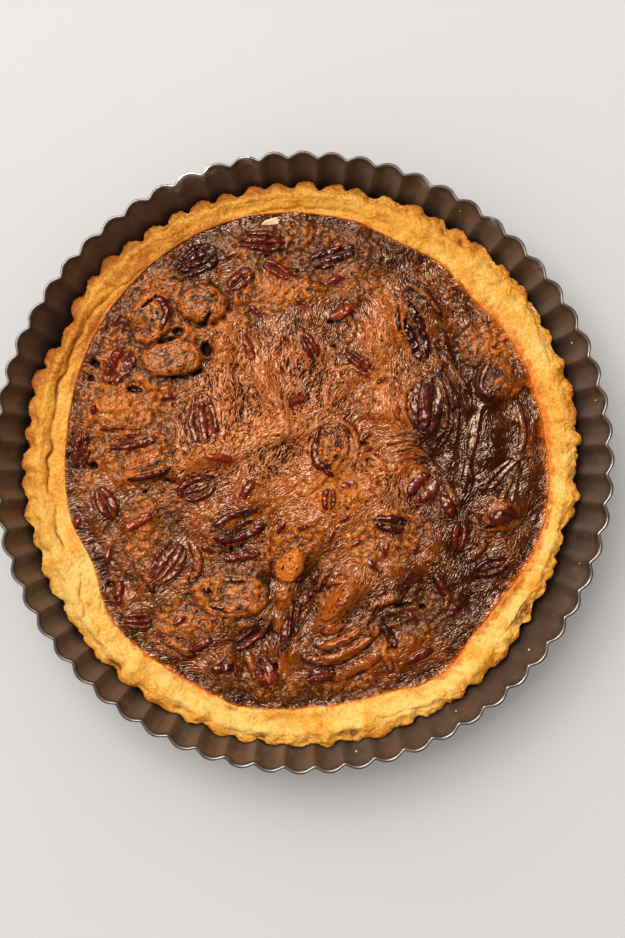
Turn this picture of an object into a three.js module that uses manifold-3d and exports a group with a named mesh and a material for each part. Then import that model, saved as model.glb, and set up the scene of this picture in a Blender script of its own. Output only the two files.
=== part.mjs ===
// A pecan pie in its fluted tin.
//
// Millimetres, +Z up. The origin is the middle of the tin's flat underside.
// The pastry case sits in the tin, the baked filling fills the case, and the
// pecan pieces lie half sunk in nests in the filling.

import * as THREE from 'three';
import { mergeVertices } from 'three/addons/utils/BufferGeometryUtils.js';
import Module from 'manifold-3d';

// ---------------------------------------------------------------- dimensions

const tin = {
  height: 40,
  rimRadius: 139.1, // middle of the rolled rim, between flute crest and trough
  baseRadius: 122.3,
  sheet: 0.9,
  beadRadius: 0.95,
  flutes: 64,
  fluteDepth: 2.6, // crest to trough at the rim
  baseFluteShare: 0.55, // of the rim's flute depth left at the foot
  turn: -0.31, // degrees the flutes are turned about the axis
  drift: 0.94, // degrees the flutes wander round the rim
  driftTowards: 15,
};

const crust = {
  centre: [-0.8, -0.6], // the case baked a little off the tin's axis
  radius: 128.6, // outer edge, at its widest height
  footRadius: 119.6,
  underside: 1.3, // above the tin's floor sheet
  widestHeight: 21,
  rollHeight: 26.2,
  innerRadius: 112.6, // where the pastry meets the filling
  innerHeight: 24.6,
  wallLean: 4, // how far the case's inside foot is in from its inner edge
  baseTop: 5.6,
  scallopDepth: 3.2,
  turn: -0.6,
  drift: 0.66,
  driftTowards: 291,
  clearance: 1, // kept to the tin's wall
};

// Swellings of the pastry's edges: [direction, half-width in degrees, mm outwards].
const outerSwellings = [
  [40, 22, 1.6], [133, 6, 1.8], [151, 6, -3.8], [172, 14, -1.0],
  [268, 26, 1.6], [345, 20, -3.2],
];
const innerSwellings = [
  [105, 32, 4.4], [178, 24, -3.8], [205, 9, -5.2], [222, 9, 1.0], [257, 9, 3.0],
  [303, 9, 4.0], [322, 8, -2.0], [347, 16, 2.8], [43, 8, -2.6], [66, 7, -1.6],
];
// The seam where the roll is folded over onto the inner lip, deepest on the left.
const foldSwellings = [[168, 26, 3.4], [205, 12, 2.6], [90, 26, 1.8], [262, 18, 1.4], [318, 14, 1.0]];

const filling = {
  edgeHeight: 23.4,
  dome: 2.6,
  clearance: 0.8, // to the pastry
  waves: [[0.12, 0.9, 0.55], [0.17, 2.4, 0.45], [0.1, 4.1, 0.6]], // [radians per mm, heading, height]
};

const nestGap = 0.7; // between a pecan piece and its nest in the filling

// How each kind of piece stands in the filling: crown above and belly below its
// widest plane in shares of its width, how far that plane stands above the
// filling in mm, and its cross-section, from one side over the crown to the belly,
// as [share of the half width, share of the crown or belly].
const pecanKinds = {
  ridged: {
    crown: 0.27, belly: 0.24, lift: 0.5, rings: 5,
    section: [[1, 0], [0.55, 1], [0, 0.55], [-0.55, 1], [-1, 0], [0, -1]],
  },
  flat: {
    crown: 0.17, belly: 0.26, lift: 0.9, rings: 5,
    section: [[1, 0.3], [0.7, 1], [0, 0.35], [-0.7, 1], [-1, 0.3], [0, -1]],
  },
  covered: {
    crown: 0.2, belly: 0.2, lift: 0.3, rings: 5,
    section: [[1, 0], [0.62, 0.75], [0, 1], [-0.62, 0.75], [-1, 0], [0, -1]],
  },
  sliver: {
    crown: 0.45, belly: 0.45, lift: 0.3, rings: 4,
    section: [[1, 0], [0.5, 0.95], [-0.5, 0.95], [-1, 0], [0, -1]],
  },
};

// The pecan pieces: [x, y, length, width, turn in degrees, kind].
const pecans = [
  [-49, 93, 23, 14, 28, 'flat'], [-19, 102, 24, 11, -3, 'ridged'],
  [-29, 84, 15, 10, 35, 'ridged'], [-12, 89, 15, 8, -30, 'ridged'],
  [13, 95, 24, 11, 15, 'ridged'], [51, 61, 30, 15, -70, 'flat'],
  [18, 69, 13, 6, 30, 'sliver'], [3, 54, 14, 8, -60, 'ridged'],
  [25, 47, 15, 7, -40, 'ridged'], [-70, 67, 22, 17, 70, 'covered'],
  [-46, 73, 20, 16, 0, 'covered'], [-60, 48, 25, 16, 5, 'covered'],
  [-85, 44, 21, 14, 60, 'ridged'], [-25, 53, 13, 5, -72, 'sliver'],
  [-2, 29, 13, 6, 25, 'sliver'], [57, 26, 29, 17, 82, 'flat'],
  [88, 38, 19, 16, 60, 'covered'], [-46, 20, 26, 15, -84, 'ridged'],
  [-102, 6, 18, 10, 80, 'ridged'], [-78, 11, 25, 12, 12, 'covered'],
  [-71, -4, 22, 9, 15, 'ridged'], [-91, -18, 16, 11, -60, 'ridged'],
  [-38, 2, 14, 5, -8, 'sliver'], [-49, -12, 20, 12, 20, 'flat'],
  [12, 8, 26, 16, 75, 'covered'], [12, -17, 11, 8, 85, 'ridged'],
  [55, -12, 15, 14, 80, 'covered'], [-25, -12, 12, 6, 55, 'sliver'],
  [-30, -29, 29, 15, 20, 'flat'], [-28, -43, 18, 5, 12, 'sliver'],
  [-33, -61, 31, 19, -5, 'covered'], [-6, -48, 14, 11, 45, 'covered'],
  [-77, -28, 18, 5, 30, 'sliver'], [-62, -46, 22, 15, 58, 'ridged'],
  [-85, -60, 12, 5, 85, 'sliver'], [-76, -73, 14, 9, 0, 'ridged'],
  [-24, -80, 20, 9, 35, 'ridged'], [-47, -84, 14, 6, 25, 'sliver'],
  [-37, -95, 13, 8, 5, 'ridged'], [-17, -97, 17, 12, -68, 'ridged'],
  [40, -28, 16, 10, -8, 'ridged'], [72, -34, 15, 9, 80, 'ridged'],
  [67, -20, 12, 6, -60, 'sliver'], [92, -25, 17, 13, 20, 'covered'],
  [87, -48, 17, 9, 15, 'flat'], [63, -56, 14, 6, -68, 'sliver'],
  [3, -60, 18, 6, 52, 'sliver'], [16, -64, 23, 10, 48, 'ridged'],
  [-7, -77, 21, 6, 75, 'sliver'], [19, -84, 29, 12, 22, 'ridged'],
  [8, -99, 15, 5, 8, 'sliver'], [40, -80, 13, 5, -60, 'sliver'],
  [54, -89, 17, 6, 28, 'sliver'],
];

// ------------------------------------------------------------------- helpers

const radians = THREE.MathUtils.degToRad;
const steps = tin.flutes * 4; // four facets to a flute
const fillingSteps = 80;

// The height of a bell curve whose middle is `offset` degrees away.
function bell(offset, halfWidth) {
  const wrapped = ((offset + 540) % 360) - 180;
  return Math.exp(-((wrapped / halfWidth) ** 2));
}

function swelling(list, angle) {
  const direction = THREE.MathUtils.radToDeg(angle);
  let sum = 0;
  for (const [towards, halfWidth, size] of list) {
    sum += size * bell(direction - towards, halfWidth);
  }
  return sum;
}

// The flutes' section, 2 from crest to trough: broad round crests, narrower troughs.
function fluteWave(step) {
  const phase = step * tin.flutes;
  return Math.cos(phase) - 0.2 * Math.cos(2 * phase);
}

// Where a flute laid out evenly at `step` really stands round the axis.
function wander(shape, step) {
  return step + radians(shape.turn + shape.drift * Math.cos(step - radians(shape.driftTowards)));
}

// A closed body of revolution whose profile points are then placed one by one.
// place(step, ring) gives each profile point's position at an angle.
function shapedLathe(ringCount, stepCount, place) {
  const profile = [];
  for (let ring = 0; ring < ringCount; ring += 1) {
    profile.push(new THREE.Vector2(1, ring));
  }
  const geometry = new THREE.LatheGeometry(profile, stepCount);
  const position = geometry.getAttribute('position');
  for (let i = 0; i < position.count; i += 1) {
    const step = (Math.floor(i / ringCount) % stepCount) * (2 * Math.PI / stepCount);
    const point = place(step, i % ringCount);
    position.setXYZ(i, point.x, point.y, point.z);
  }
  return welded(geometry);
}

// The same faces with shared vertices merged and collapsed faces left out.
function welded(geometry) {
  const bare = geometry.clone();
  bare.deleteAttribute('normal');
  bare.deleteAttribute('uv');
  const merged = mergeVertices(bare, 1e-4);
  const index = merged.getIndex();
  const kept = [];
  for (let i = 0; i < index.count; i += 3) {
    const [a, b, c] = [index.getX(i), index.getX(i + 1), index.getX(i + 2)];
    if (a !== b && b !== c && c !== a) kept.push(a, b, c);
  }
  merged.setIndex(kept);
  return merged;
}

function polar(radius, angle, z, centre = [0, 0]) {
  const x = centre[0] + radius * Math.cos(angle);
  const y = centre[1] + radius * Math.sin(angle);
  return new THREE.Vector3(x, y, z);
}

function material(color, roughness, metalness = 0) {
  return new THREE.MeshStandardMaterial({ color, roughness, metalness });
}

function namedMesh(name, geometry, look) {
  geometry.computeVertexNormals();
  const mesh = new THREE.Mesh(geometry, look);
  mesh.name = name;
  return mesh;
}

const wasm = await Module();
wasm.setup();

function toManifold(geometry) {
  const vertProperties = new Float32Array(geometry.getAttribute('position').array);
  const triVerts = new Uint32Array(geometry.getIndex().array);
  return new wasm.Manifold(new wasm.Mesh({ numProp: 3, vertProperties, triVerts }));
}

function toGeometry(manifold) {
  const cut = manifold.getMesh();
  const geometry = new THREE.BufferGeometry();
  geometry.setAttribute('position', new THREE.BufferAttribute(cut.vertProperties, 3));
  geometry.setIndex(new THREE.BufferAttribute(cut.triVerts, 1));
  return geometry;
}

// ----------------------------------------------------------------------- tin

// The wall's middle radius at a height, without its flutes.
function wallRadius(z) {
  return THREE.MathUtils.lerp(tin.baseRadius, tin.rimRadius, z / tin.height);
}

function fluteAt(step, z) {
  const share = THREE.MathUtils.lerp(tin.baseFluteShare, 1, z / tin.height);
  return 0.5 * tin.fluteDepth * share * fluteWave(step);
}

function tinGeometry() {
  const half = 0.5 * tin.sheet;
  const bead = tin.beadRadius;
  const beadHeight = tin.height - bead;
  // [offset from the wall's middle, height], up the outside and down the inside
  const section = [
    [0, 0], [half, 0], [half, beadHeight - bead], [bead, beadHeight],
    [0, tin.height], [-bead, beadHeight], [-half, tin.sheet], [0, tin.sheet],
  ];
  return shapedLathe(section.length, steps, (step, ring) => {
    const [offset, z] = section[ring];
    const onAxis = ring === 0 || ring === section.length - 1;
    const radius = onAxis ? 0 : wallRadius(z) + fluteAt(step, z) + offset;
    return polar(radius, wander(tin, step), z);
  });
}

// --------------------------------------------------------------------- crust

// The radius that the tin's wall leaves free for the pastry at an angle.
function roomInTin(angle, z) {
  const step = angle - (wander(tin, angle) - angle);
  return wallRadius(z) + fluteAt(step, z) - 0.5 * tin.sheet - crust.clearance;
}

// Draws a point of the pastry in, where it would touch the tin's wall.
function keepInTin(point) {
  const reach = Math.hypot(point.x, point.y);
  const room = roomInTin(Math.atan2(point.y, point.x), point.z);
  if (reach > room) {
    point.x *= room / reach;
    point.y *= room / reach;
  }
  return point;
}

function innerEdge(angle) {
  return crust.innerRadius + swelling(innerSwellings, angle);
}

function crustGeometry() {
  const rings = 10;
  return shapedLathe(rings, steps, (step, ring) => {
    const angle = wander(crust, step);
    const scallop = 0.5 * crust.scallopDepth * fluteWave(step);
    const outer = crust.radius + swelling(outerSwellings, angle);
    const inner = innerEdge(angle);
    const width = outer - inner;
    const fold = swelling(foldSwellings, angle);
    const lumps = 0.7 * Math.sin(5 * angle + 1) + 0.5 * Math.sin(13 * angle);
    const roll = crust.rollHeight + lumps;
    const section = [
      [0, crust.underside],
      [crust.footRadius, crust.underside],
      [outer + scallop, crust.widestHeight],
      [outer - 0.16 * width + 0.8 * scallop, roll - 1.6],
      [inner + 0.62 * width, roll],
      [inner + 0.42 * width, roll - 0.6 - fold],
      [inner + 0.26 * width, roll - 0.8],
      [inner, crust.innerHeight],
      [inner - crust.wallLean, crust.baseTop],
      [0, crust.baseTop],
    ];
    const [radius, z] = section[ring];
    return keepInTin(polar(radius, angle, z, crust.centre));
  });
}

// ------------------------------------------------------------------- filling

// The baked surface: domed, with low waves that fade towards the pastry.
function fillingHeight(x, y) {
  const share = Math.min(1, Math.hypot(x, y) / crust.innerRadius);
  let waves = 0;
  for (const [frequency, heading, height] of filling.waves) {
    waves += height * Math.sin(frequency * (x * Math.cos(heading) + y * Math.sin(heading)));
  }
  const level = filling.edgeHeight + filling.dome * (1 - share ** 3);
  return level + waves * (1 - share ** 4);
}

function fillingGeometry() {
  const shares = [0, 0.16, 0.33, 0.49, 0.64, 0.78, 0.9, 1];
  const underside = crust.baseTop + 0.4;
  const ringCount = shares.length + 2;
  return shapedLathe(ringCount, fillingSteps, (step, ring) => {
    // from the middle of the underside, up the side and in over the top
    const edge = innerEdge(step) - filling.clearance;
    if (ring === 0) return polar(0, step, underside, crust.centre);
    if (ring === 1) return polar(edge - crust.wallLean, step, underside, crust.centre);
    const share = shares[ringCount - 1 - ring];
    const evenEdge = crust.innerRadius - filling.clearance;
    const radius = share * THREE.MathUtils.lerp(evenEdge, edge, share * share);
    const point = polar(radius, step, 0, crust.centre);
    point.z = fillingHeight(point.x, point.y);
    return point;
  });
}

// -------------------------------------------------------------------- pecans

// One piece at its place: a sphere's grid whose poles are the piece's two ends.
// `gap` grows it all round, for cutting its nest.
function pecanGeometry([x, y, length, width, turn, kind], gap = 0) {
  const { crown, belly, lift, rings, section } = pecanKinds[kind];
  const sides = section.length;
  const geometry = new THREE.SphereGeometry(1, sides, rings);
  const position = geometry.getAttribute('position');
  for (let i = 0; i < position.count; i += 1) {
    const [share, rise] = section[(i % (sides + 1)) % sides];
    const fromEnd = (Math.floor(i / (sides + 1)) / rings) * Math.PI;
    const girth = Math.sin(fromEnd) ** 0.8; // blunt ends
    const along = Math.cos(fromEnd) * (0.5 * length + gap);
    const side = share * girth * (0.5 * width + gap);
    const up = rise * girth * ((rise > 0 ? crown : belly) * width + gap);
    position.setXYZ(i, along, side, up);
  }
  geometry.rotateZ(radians(turn));
  geometry.translate(x, y, fillingHeight(x, y) + lift);
  return welded(geometry);
}

// ------------------------------------------------------------------ assembly

const looks = {
  tin: material(0x4a3f38, 0.45, 0.6),
  pastry: material(0xdfa763, 0.75),
  filling: material(0x8a4a1c, 0.35),
  pecan: material(0x5a1f14, 0.3),
};

const pie = new THREE.Group();
pie.add(namedMesh('tin', tinGeometry(), looks.tin));
pie.add(namedMesh('crust', crustGeometry(), looks.pastry));

let nested = toManifold(fillingGeometry());
for (const piece of pecans) {
  nested = nested.subtract(toManifold(pecanGeometry(piece, nestGap)));
}
pie.add(namedMesh('filling', toGeometry(nested), looks.filling));

for (const [index, piece] of pecans.entries()) {
  const name = `pecan_${String(index + 1).padStart(2, '0')}`;
  pie.add(namedMesh(name, pecanGeometry(piece), looks.pecan));
}

export default pie;
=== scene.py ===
"""A pecan pie in its fluted tin, dressed around the packed model.

Metres, +Z up, the same frame as the model. Each operator makes one piece, or a
group of like pieces, that stands for its plain solid in the model.
"""

import functools
import itertools
import math

import bpy
import numpy as np
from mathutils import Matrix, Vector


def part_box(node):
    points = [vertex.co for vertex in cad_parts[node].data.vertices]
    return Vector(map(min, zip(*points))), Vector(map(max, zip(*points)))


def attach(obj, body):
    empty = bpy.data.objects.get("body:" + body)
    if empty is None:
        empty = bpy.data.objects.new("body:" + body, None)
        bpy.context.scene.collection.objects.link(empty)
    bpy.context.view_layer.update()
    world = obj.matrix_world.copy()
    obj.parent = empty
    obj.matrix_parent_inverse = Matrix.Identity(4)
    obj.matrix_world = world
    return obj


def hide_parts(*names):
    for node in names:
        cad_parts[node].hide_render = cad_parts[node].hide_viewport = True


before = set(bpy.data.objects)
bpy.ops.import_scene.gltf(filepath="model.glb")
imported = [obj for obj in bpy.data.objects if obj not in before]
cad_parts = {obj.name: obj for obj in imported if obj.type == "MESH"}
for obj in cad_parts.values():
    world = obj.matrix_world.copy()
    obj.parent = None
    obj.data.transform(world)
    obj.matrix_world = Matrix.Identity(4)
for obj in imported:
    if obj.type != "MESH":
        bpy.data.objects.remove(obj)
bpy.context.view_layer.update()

bl_info = {
    "name": "Pecan Pie",
    "version": (1, 0, 0),
    "blender": (4, 5, 0),
    "location": "View3D > Sidebar > Pie",
    "description": "Builds a baked pecan pie in its fluted tin",
    "category": "Add Mesh",
}

MM = 0.001
TIN_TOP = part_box("tin")[1][2]
PECAN_NAMES = sorted(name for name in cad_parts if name.startswith("pecan_"))

# ------------------------------------------------------------------ settings


def length(name, description, default):
    """A length in metres that the sidebar shows in the scene's unit."""
    return bpy.props.FloatProperty(
        name=name, description=description, default=default, unit="LENGTH", precision=5
    )


def turn(name, description, degrees):
    """An angle that the sidebar shows in degrees."""
    return bpy.props.FloatProperty(
        name=name, description=description, default=math.radians(degrees), subtype="ANGLE"
    )


def linear(*levels):
    """A colour of screen levels from 0 to 255, as the scene's linear colour."""
    shares = [level / 255 for level in levels]
    return [s / 12.92 if s < 0.04045 else ((s + 0.055) / 1.055) ** 2.4 for s in shares]


def colour(name, description, *levels):
    """A colour of the finish, given in screen levels."""
    return bpy.props.FloatVectorProperty(
        name=name, description=description, default=linear(*levels), subtype="COLOR",
        size=3, min=0, max=1,
    )


class PieTinSettings(bpy.types.PropertyGroup):
    """Sizes and colours of the fluted tin."""

    rim_radius: length("Rim radius", "Middle of the rolled rim", 139.1 * MM)
    base_radius: length("Base radius", "Middle of the wall at the foot", 122.3 * MM)
    sheet: length("Sheet", "Thickness of the tin's sheet", 0.9 * MM)
    bead_radius: length("Bead radius", "Radius of the rolled rim's bead", 0.95 * MM)
    flutes: bpy.props.IntProperty(
        name="Flutes", description="Number of flutes round the wall", default=64, min=8
    )
    flute_depth: length("Flute depth", "Crest to trough at the rim", 2.6 * MM)
    base_share: bpy.props.FloatProperty(
        name="Depth at the foot", description="Share of the flute depth left at the foot",
        default=0.55, min=0, max=1, subtype="FACTOR",
    )
    turn: turn("Turn", "How far the flutes are turned", -0.31)
    drift: turn("Drift", "How far the flutes wander round the rim", 0.94)
    drift_towards: turn("Drift towards", "Where the flutes wander most", 15)
    coat: colour("Coat", "Dark non-stick coat", 87, 72, 63)
    # Baking stain, also painted light on one side of every flute.
    tint: colour("Tint", "Brown baking stain on the coat", 95, 77, 63)
    # Pale smudges and patches, also the painted light on each flute's lit side.
    bloom_and_light: colour("Bloom", "Pale smudges on the coat", 126, 106, 90)
    # Bare metal where worn, also the painted highlight line along the bead.
    bare: colour("Bare metal", "Metal where the coat is worn off", 176, 170, 166)


class PieCrustSettings(bpy.types.PropertyGroup):
    """Sizes and colours of the pastry case."""

    centre: bpy.props.FloatVectorProperty(
        name="Centre", description="Middle of the case, off the tin's axis",
        default=(-0.8 * MM, -0.6 * MM), size=2, unit="LENGTH",
    )
    radius: length("Radius", "Outer edge at its widest height", 128.6 * MM)
    foot_radius: length("Foot radius", "Outer edge at the foot", 119.6 * MM)
    underside: length("Underside", "Height of the underside", 1.3 * MM)
    widest_height: length("Widest height", "Height of the widest place", 21 * MM)
    roll_height: length("Roll height", "Height of the roll's crest", 26.2 * MM)
    inner_radius: length("Inner radius", "Where the pastry meets the filling", 112.6 * MM)
    inner_height: length("Inner height", "Height of the inner edge", 24.6 * MM)
    wall_lean: length("Wall lean", "How far the inside foot is in", 4 * MM)
    base_top: length("Base top", "Height of the pastry's floor", 5.6 * MM)
    scallop_depth: length("Scallop depth", "Crest to trough of the outer edge", 3.2 * MM)
    turn: turn("Turn", "How far the scallops are turned", -0.6)
    drift: turn("Drift", "How far the scallops wander", 0.66)
    drift_towards: turn("Drift towards", "Where the scallops wander most", 291)
    clearance: length("Clearance", "Gap kept to the tin's wall", 0.9 * MM)
    pale: colour("Pale", "Least baked pastry", 252, 202, 112)
    golden: colour("Golden", "Most of the pastry", 243, 172, 62)
    # Toasted browning, also the painted shade on the upper-left side.
    toasted_and_shaded: colour("Toasted", "Raised places that baked darker", 200, 118, 30)
    # Painted shade in the creases.
    crease_shade: colour("Crease", "Depth of the creases", 140, 78, 26)
    caramel: colour("Caramel", "Syrup that ran onto the pastry", 222, 116, 2)


class PieFillingSettings(bpy.types.PropertyGroup):
    """Sizes and colours of the baked filling."""

    edge_height: length("Edge height", "Height where it meets the pastry", 23.4 * MM)
    dome: length("Dome", "Rise of the middle over the edge", 2.6 * MM)
    rings: bpy.props.IntProperty(
        name="Rings", description="Rings of the surface's net", default=178, min=20
    )
    # The skin and foam colours run from dark to light by the tone mask, which holds painted shade in
    # hollows and painted light on swells.
    skin_dark: colour("Dark skin", "Glossy skin in the hollows", 60, 22, 3)
    skin_light: colour("Light skin", "Glossy skin on the swells", 174, 90, 20)
    foam_dark: colour("Dark foam", "Deeper baked foam", 86, 38, 3)
    foam_light: colour("Light foam", "Crisp open foam", 204, 112, 14)
    # Painted sheen on the skin's crests.
    crest: colour("Crests", "Palest crests of the wrinkled skin", 222, 152, 104)
    # Painted shade inside the pores, holes and gaps and under the pastry's roll.
    pore_shade: colour("Pores", "Inside of the foam's pores", 22, 12, 8)


class PiePecanSettings(bpy.types.PropertyGroup):
    """Colours and fineness of the pecan pieces."""

    rings: bpy.props.IntProperty(
        name="Rings", description="Rings of each piece's net", default=25, min=6
    )
    mahogany: colour("Mahogany", "Roasted pecan skin", 104, 32, 20)
    plum: colour("Plum", "Darkest pecan skin", 46, 17, 22)
    rust: colour("Rust", "Lightest pecan skin", 158, 62, 26)


class PieStageSettings(bpy.types.PropertyGroup):
    """Camera, light and floor."""

    camera_height: length("Camera height", "Above the floor", 651 * MM)
    camera_place: bpy.props.FloatVectorProperty(
        name="Camera place", description="Where the camera's axis meets the floor",
        default=(4.46 * MM, -2.9 * MM), size=2, unit="LENGTH",
    )
    lens: bpy.props.FloatProperty(
        name="Lens", description="Focal length on a 36 mm frame", default=52.1, unit="CAMERA"
    )
    key_power: bpy.props.FloatProperty(
        name="Key power", description="Power of the large soft window light", default=9.2,
        unit="POWER",
    )
    gleam_power: bpy.props.FloatProperty(
        name="Gleam power", description="Power of the small bright part of the light", default=110,
        unit="POWER",
    )
    floor: colour("Floor", "Pale matt floor", 219, 217, 216)


SETTINGS = {
    "pie_tin": PieTinSettings,
    "pie_crust": PieCrustSettings,
    "pie_filling": PieFillingSettings,
    "pie_pecan": PiePecanSettings,
    "pie_stage": PieStageSettings,
}

# ------------------------------------------------------- noise and small maths

# Odd numbers that scatter a cell's place and seed over all the bits of its key.
CELL_PRIMES = (73856093, 19349663, 83492791)
SEED_PRIME = 668265263
MIX_PRIMES = ((15, 2246822519), (13, 3266489917))
MIX_BITS = 0xFFFFFFFF
# Ten bits of a key give one part of a corner's lean, which runs from -1 to 1.
LEAN_BITS = 1023
# Brings the noise to about -1 to 1.
NOISE_GAIN = 1.7


def noise(points, size, seed):
    """Smooth noise of about -1 to 1, with lumps about `size` across.

    The seed only tells one pattern from another.
    """
    scaled = points / size
    cell = np.floor(scaled).astype(np.int64)
    part = scaled - cell
    ease = part ** 3 * (part * (part * 6 - 15) + 10)
    total = np.zeros(len(points))
    for corner in itertools.product((0, 1), repeat=3):
        key = (cell + corner) * CELL_PRIMES
        mixed = (key[:, 0] ^ key[:, 1] ^ key[:, 2]) + seed * SEED_PRIME
        for bits, prime in MIX_PRIMES:
            mixed = ((mixed ^ (mixed >> bits)) * prime) & MIX_BITS
        mixed ^= mixed >> 16
        lean = np.stack([(mixed >> bits) & LEAN_BITS for bits in (0, 10, 20)], 1)
        near = np.prod(np.where(corner, ease, 1 - ease), axis=1)
        total += near * np.sum((lean / (LEAN_BITS / 2) - 1) * (part - corner), axis=1)
    return total * NOISE_GAIN


def layered(points, size, seed, layers=3):
    """Noise over noise, each layer half the size and half the height."""
    total = np.zeros(len(points))
    for layer in range(layers):
        total += noise(points, size / 2 ** layer, seed + layer) / 2 ** layer
    return total


def between(value, low, high):
    """0 below `low`, 1 above `high`, eased in between."""
    share = np.clip((value - low) / (high - low), 0, 1)
    return share * share * (3 - 2 * share)


def bell(offset, half_width):
    """1 at no offset, falling off smoothly on both sides."""
    return np.exp(-((offset / half_width) ** 2))


def wrapped(degrees):
    """An angle's difference brought to -180 to 180 degrees."""
    return (degrees + 180) % 360 - 180


def facing(degrees, towards, half_width):
    """1 towards one direction, falling off over so many degrees to both sides."""
    return bell(wrapped(degrees - towards), half_width)


def swelling(swells, angle):
    """The sum of swells of [direction, half-width in degrees, size in mm], in metres."""
    degrees = np.degrees(angle)
    total = np.zeros_like(degrees)
    for towards, half_width, size in swells:
        total += size * MM * facing(degrees, towards, half_width)
    return total


def flat_points(x, y):
    """Points at no height, as rows."""
    return np.stack([x, y, np.zeros_like(x)], 1)


def turned(x, y, centre_x, centre_y, degrees):
    """Coordinates along and across a direction, from a centre."""
    angle = math.radians(degrees)
    dx, dy = x - centre_x, y - centre_y
    along = dx * math.cos(angle) + dy * math.sin(angle)
    across = dy * math.cos(angle) - dx * math.sin(angle)
    return along, across


def oval(x, y, centre_x, centre_y, half_long, half_wide, degrees):
    """Distance from the middle of an oval given in mm, in shares of its half-axes."""
    along, across = turned(x, y, centre_x * MM, centre_y * MM, degrees)
    return np.hypot(along / (half_long * MM), across / (half_wide * MM))


# ------------------------------------------------------------------ the meshes


def ring_net(rings):
    """An even net over a disc: shares of the radius, angles and triangles."""
    shares, angles, triangles = [np.zeros(1)], [np.zeros(1)], []
    first = {0: 0}
    for ring in range(1, rings + 1):
        first[ring] = first[ring - 1] + max(1, 6 * (ring - 1))
        shares.append(np.full(6 * ring, ring / rings))
        angles.append(np.arange(6 * ring) * (2 * np.pi / (6 * ring)))
    for ring in range(rings):
        sector = np.repeat(np.arange(6), ring + 1)
        step = np.tile(np.arange(ring + 1), 6)
        inner = first[ring] + (sector * ring + step) % max(1, 6 * ring)
        outer = sector * (ring + 1) + step
        here = first[ring + 1] + outer
        after = first[ring + 1] + (outer + 1) % (6 * (ring + 1))
        triangles.append(np.stack([inner, here, after], 1))
        inside = step < ring
        next_inner = first[ring] + (sector * ring + step + 1) % max(1, 6 * ring)
        triangles.append(np.stack([inner, after, next_inner], 1)[inside])
    return np.concatenate(shares), np.concatenate(angles), np.concatenate(triangles)


def closed_under(points, triangles, rings, skirt, low):
    """Closes a disc's net with a skirt and a fan at the underside.

    Each ring of the skirt is [share of the rim's width, drop below the rim], and a drop
    of None takes the ring down to the underside.
    """
    count = 6 * rings
    rim = np.arange(len(points) - count, len(points))
    layers, faces, above = [points], [triangles], rim
    after = np.roll(np.arange(count), -1)
    start = len(points)
    for share, drop in skirt:
        ring = points[rim].copy()
        middle = ring[:, :2].mean(axis=0)
        ring[:, :2] = middle + (ring[:, :2] - middle) * share
        ring[:, 2] = low if drop is None else ring[:, 2] - drop
        below = np.arange(start, start + count)
        faces.append(np.stack([above, below, below[after]], 1))
        faces.append(np.stack([above, below[after], above[after]], 1))
        layers.append(ring)
        above = below
        start += count
    middle = layers[-1].mean(axis=0)
    middle[2] = low
    layers.append(middle[None])
    faces.append(np.stack([above, np.full(count, start), above[after]], 1))
    return np.concatenate(layers), np.concatenate(faces)


def wrapped_grid(steps, rings):
    """Triangles of a grid that closes round in its first direction."""
    step, ring = np.meshgrid(np.arange(steps), np.arange(rings - 1), indexing="ij")
    step, ring = step.ravel(), ring.ravel()
    here = step * rings + ring
    there = (step + 1) % steps * rings + ring
    return np.concatenate([
        np.stack([here, there, there + 1], 1), np.stack([here, there + 1, here + 1], 1)
    ])


def grid_normals(points, steps, rings):
    """Outward normals of the points of a wrapped grid."""
    grid = points.reshape(steps, rings, 3)
    round_way = np.roll(grid, -1, axis=0) - np.roll(grid, 1, axis=0)
    section_way = np.gradient(grid, axis=1)
    normals = np.cross(section_way, round_way)
    size = np.linalg.norm(normals, axis=2, keepdims=True)
    return (normals / np.maximum(size, 1e-12)).reshape(-1, 3)


def piece(name, points, triangles, look, nodes=(), masks=None):
    """Makes a mesh piece of the pie, with its masks, its body and the nodes it replaces."""
    mesh = bpy.data.meshes.new(name)
    mesh.from_pydata(points.tolist(), [], triangles.tolist())
    mesh.shade_smooth()
    for mask, values in (masks or {}).items():
        kind, field = ("FLOAT", "value") if values.ndim == 1 else ("FLOAT_VECTOR", "vector")
        layer = mesh.attributes.new(mask, kind, "POINT")
        whole = np.zeros((len(points), *values.shape[1:]), np.float32)
        whole[:len(values)] = values
        layer.data.foreach_set(field, whole.ravel())
    mesh.materials.append(look)
    made = bpy.data.objects.new(name, mesh)
    bpy.context.scene.collection.objects.link(made)
    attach(made, "root")
    if nodes:
        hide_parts(*nodes)


# --------------------------------------------------------------- shader pieces


def add_node(tree, kind, settings=None, **sockets):
    """Adds a node; each socket, named with _ for a space, takes a value or a link."""
    made = tree.nodes.new(kind)
    for key, value in (settings or {}).items():
        setattr(made, key, value)
    for key, value in sockets.items():
        fill(tree, made.inputs[key.replace("_", " ")], value)
    return made


def fill(tree, socket, value):
    """Gives a socket a plain value, or links it to another node's output."""
    if isinstance(value, bpy.types.NodeSocket):
        tree.links.new(value, socket)
    elif socket.type == "RGBA":
        socket.default_value = (*value, 1)
    else:
        socket.default_value = value


def calc(tree, operation, first, second=0.0, third=0.0):
    """Works out one step of arithmetic on up to three values or links."""
    made = tree.nodes.new("ShaderNodeMath")
    made.operation = operation
    for socket, value in zip(made.inputs, (first, second, third)):
        fill(tree, socket, value)
    return made.outputs[0]


def times(tree, first, second):
    """The product of two values or links."""
    return calc(tree, "MULTIPLY", first, second)


def roughen(tree, value, texture, amount):
    """Adds so much of a texture's swing about its middle to a value."""
    return calc(tree, "MULTIPLY_ADD", calc(tree, "SUBTRACT", texture, 0.5), amount, value)


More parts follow.
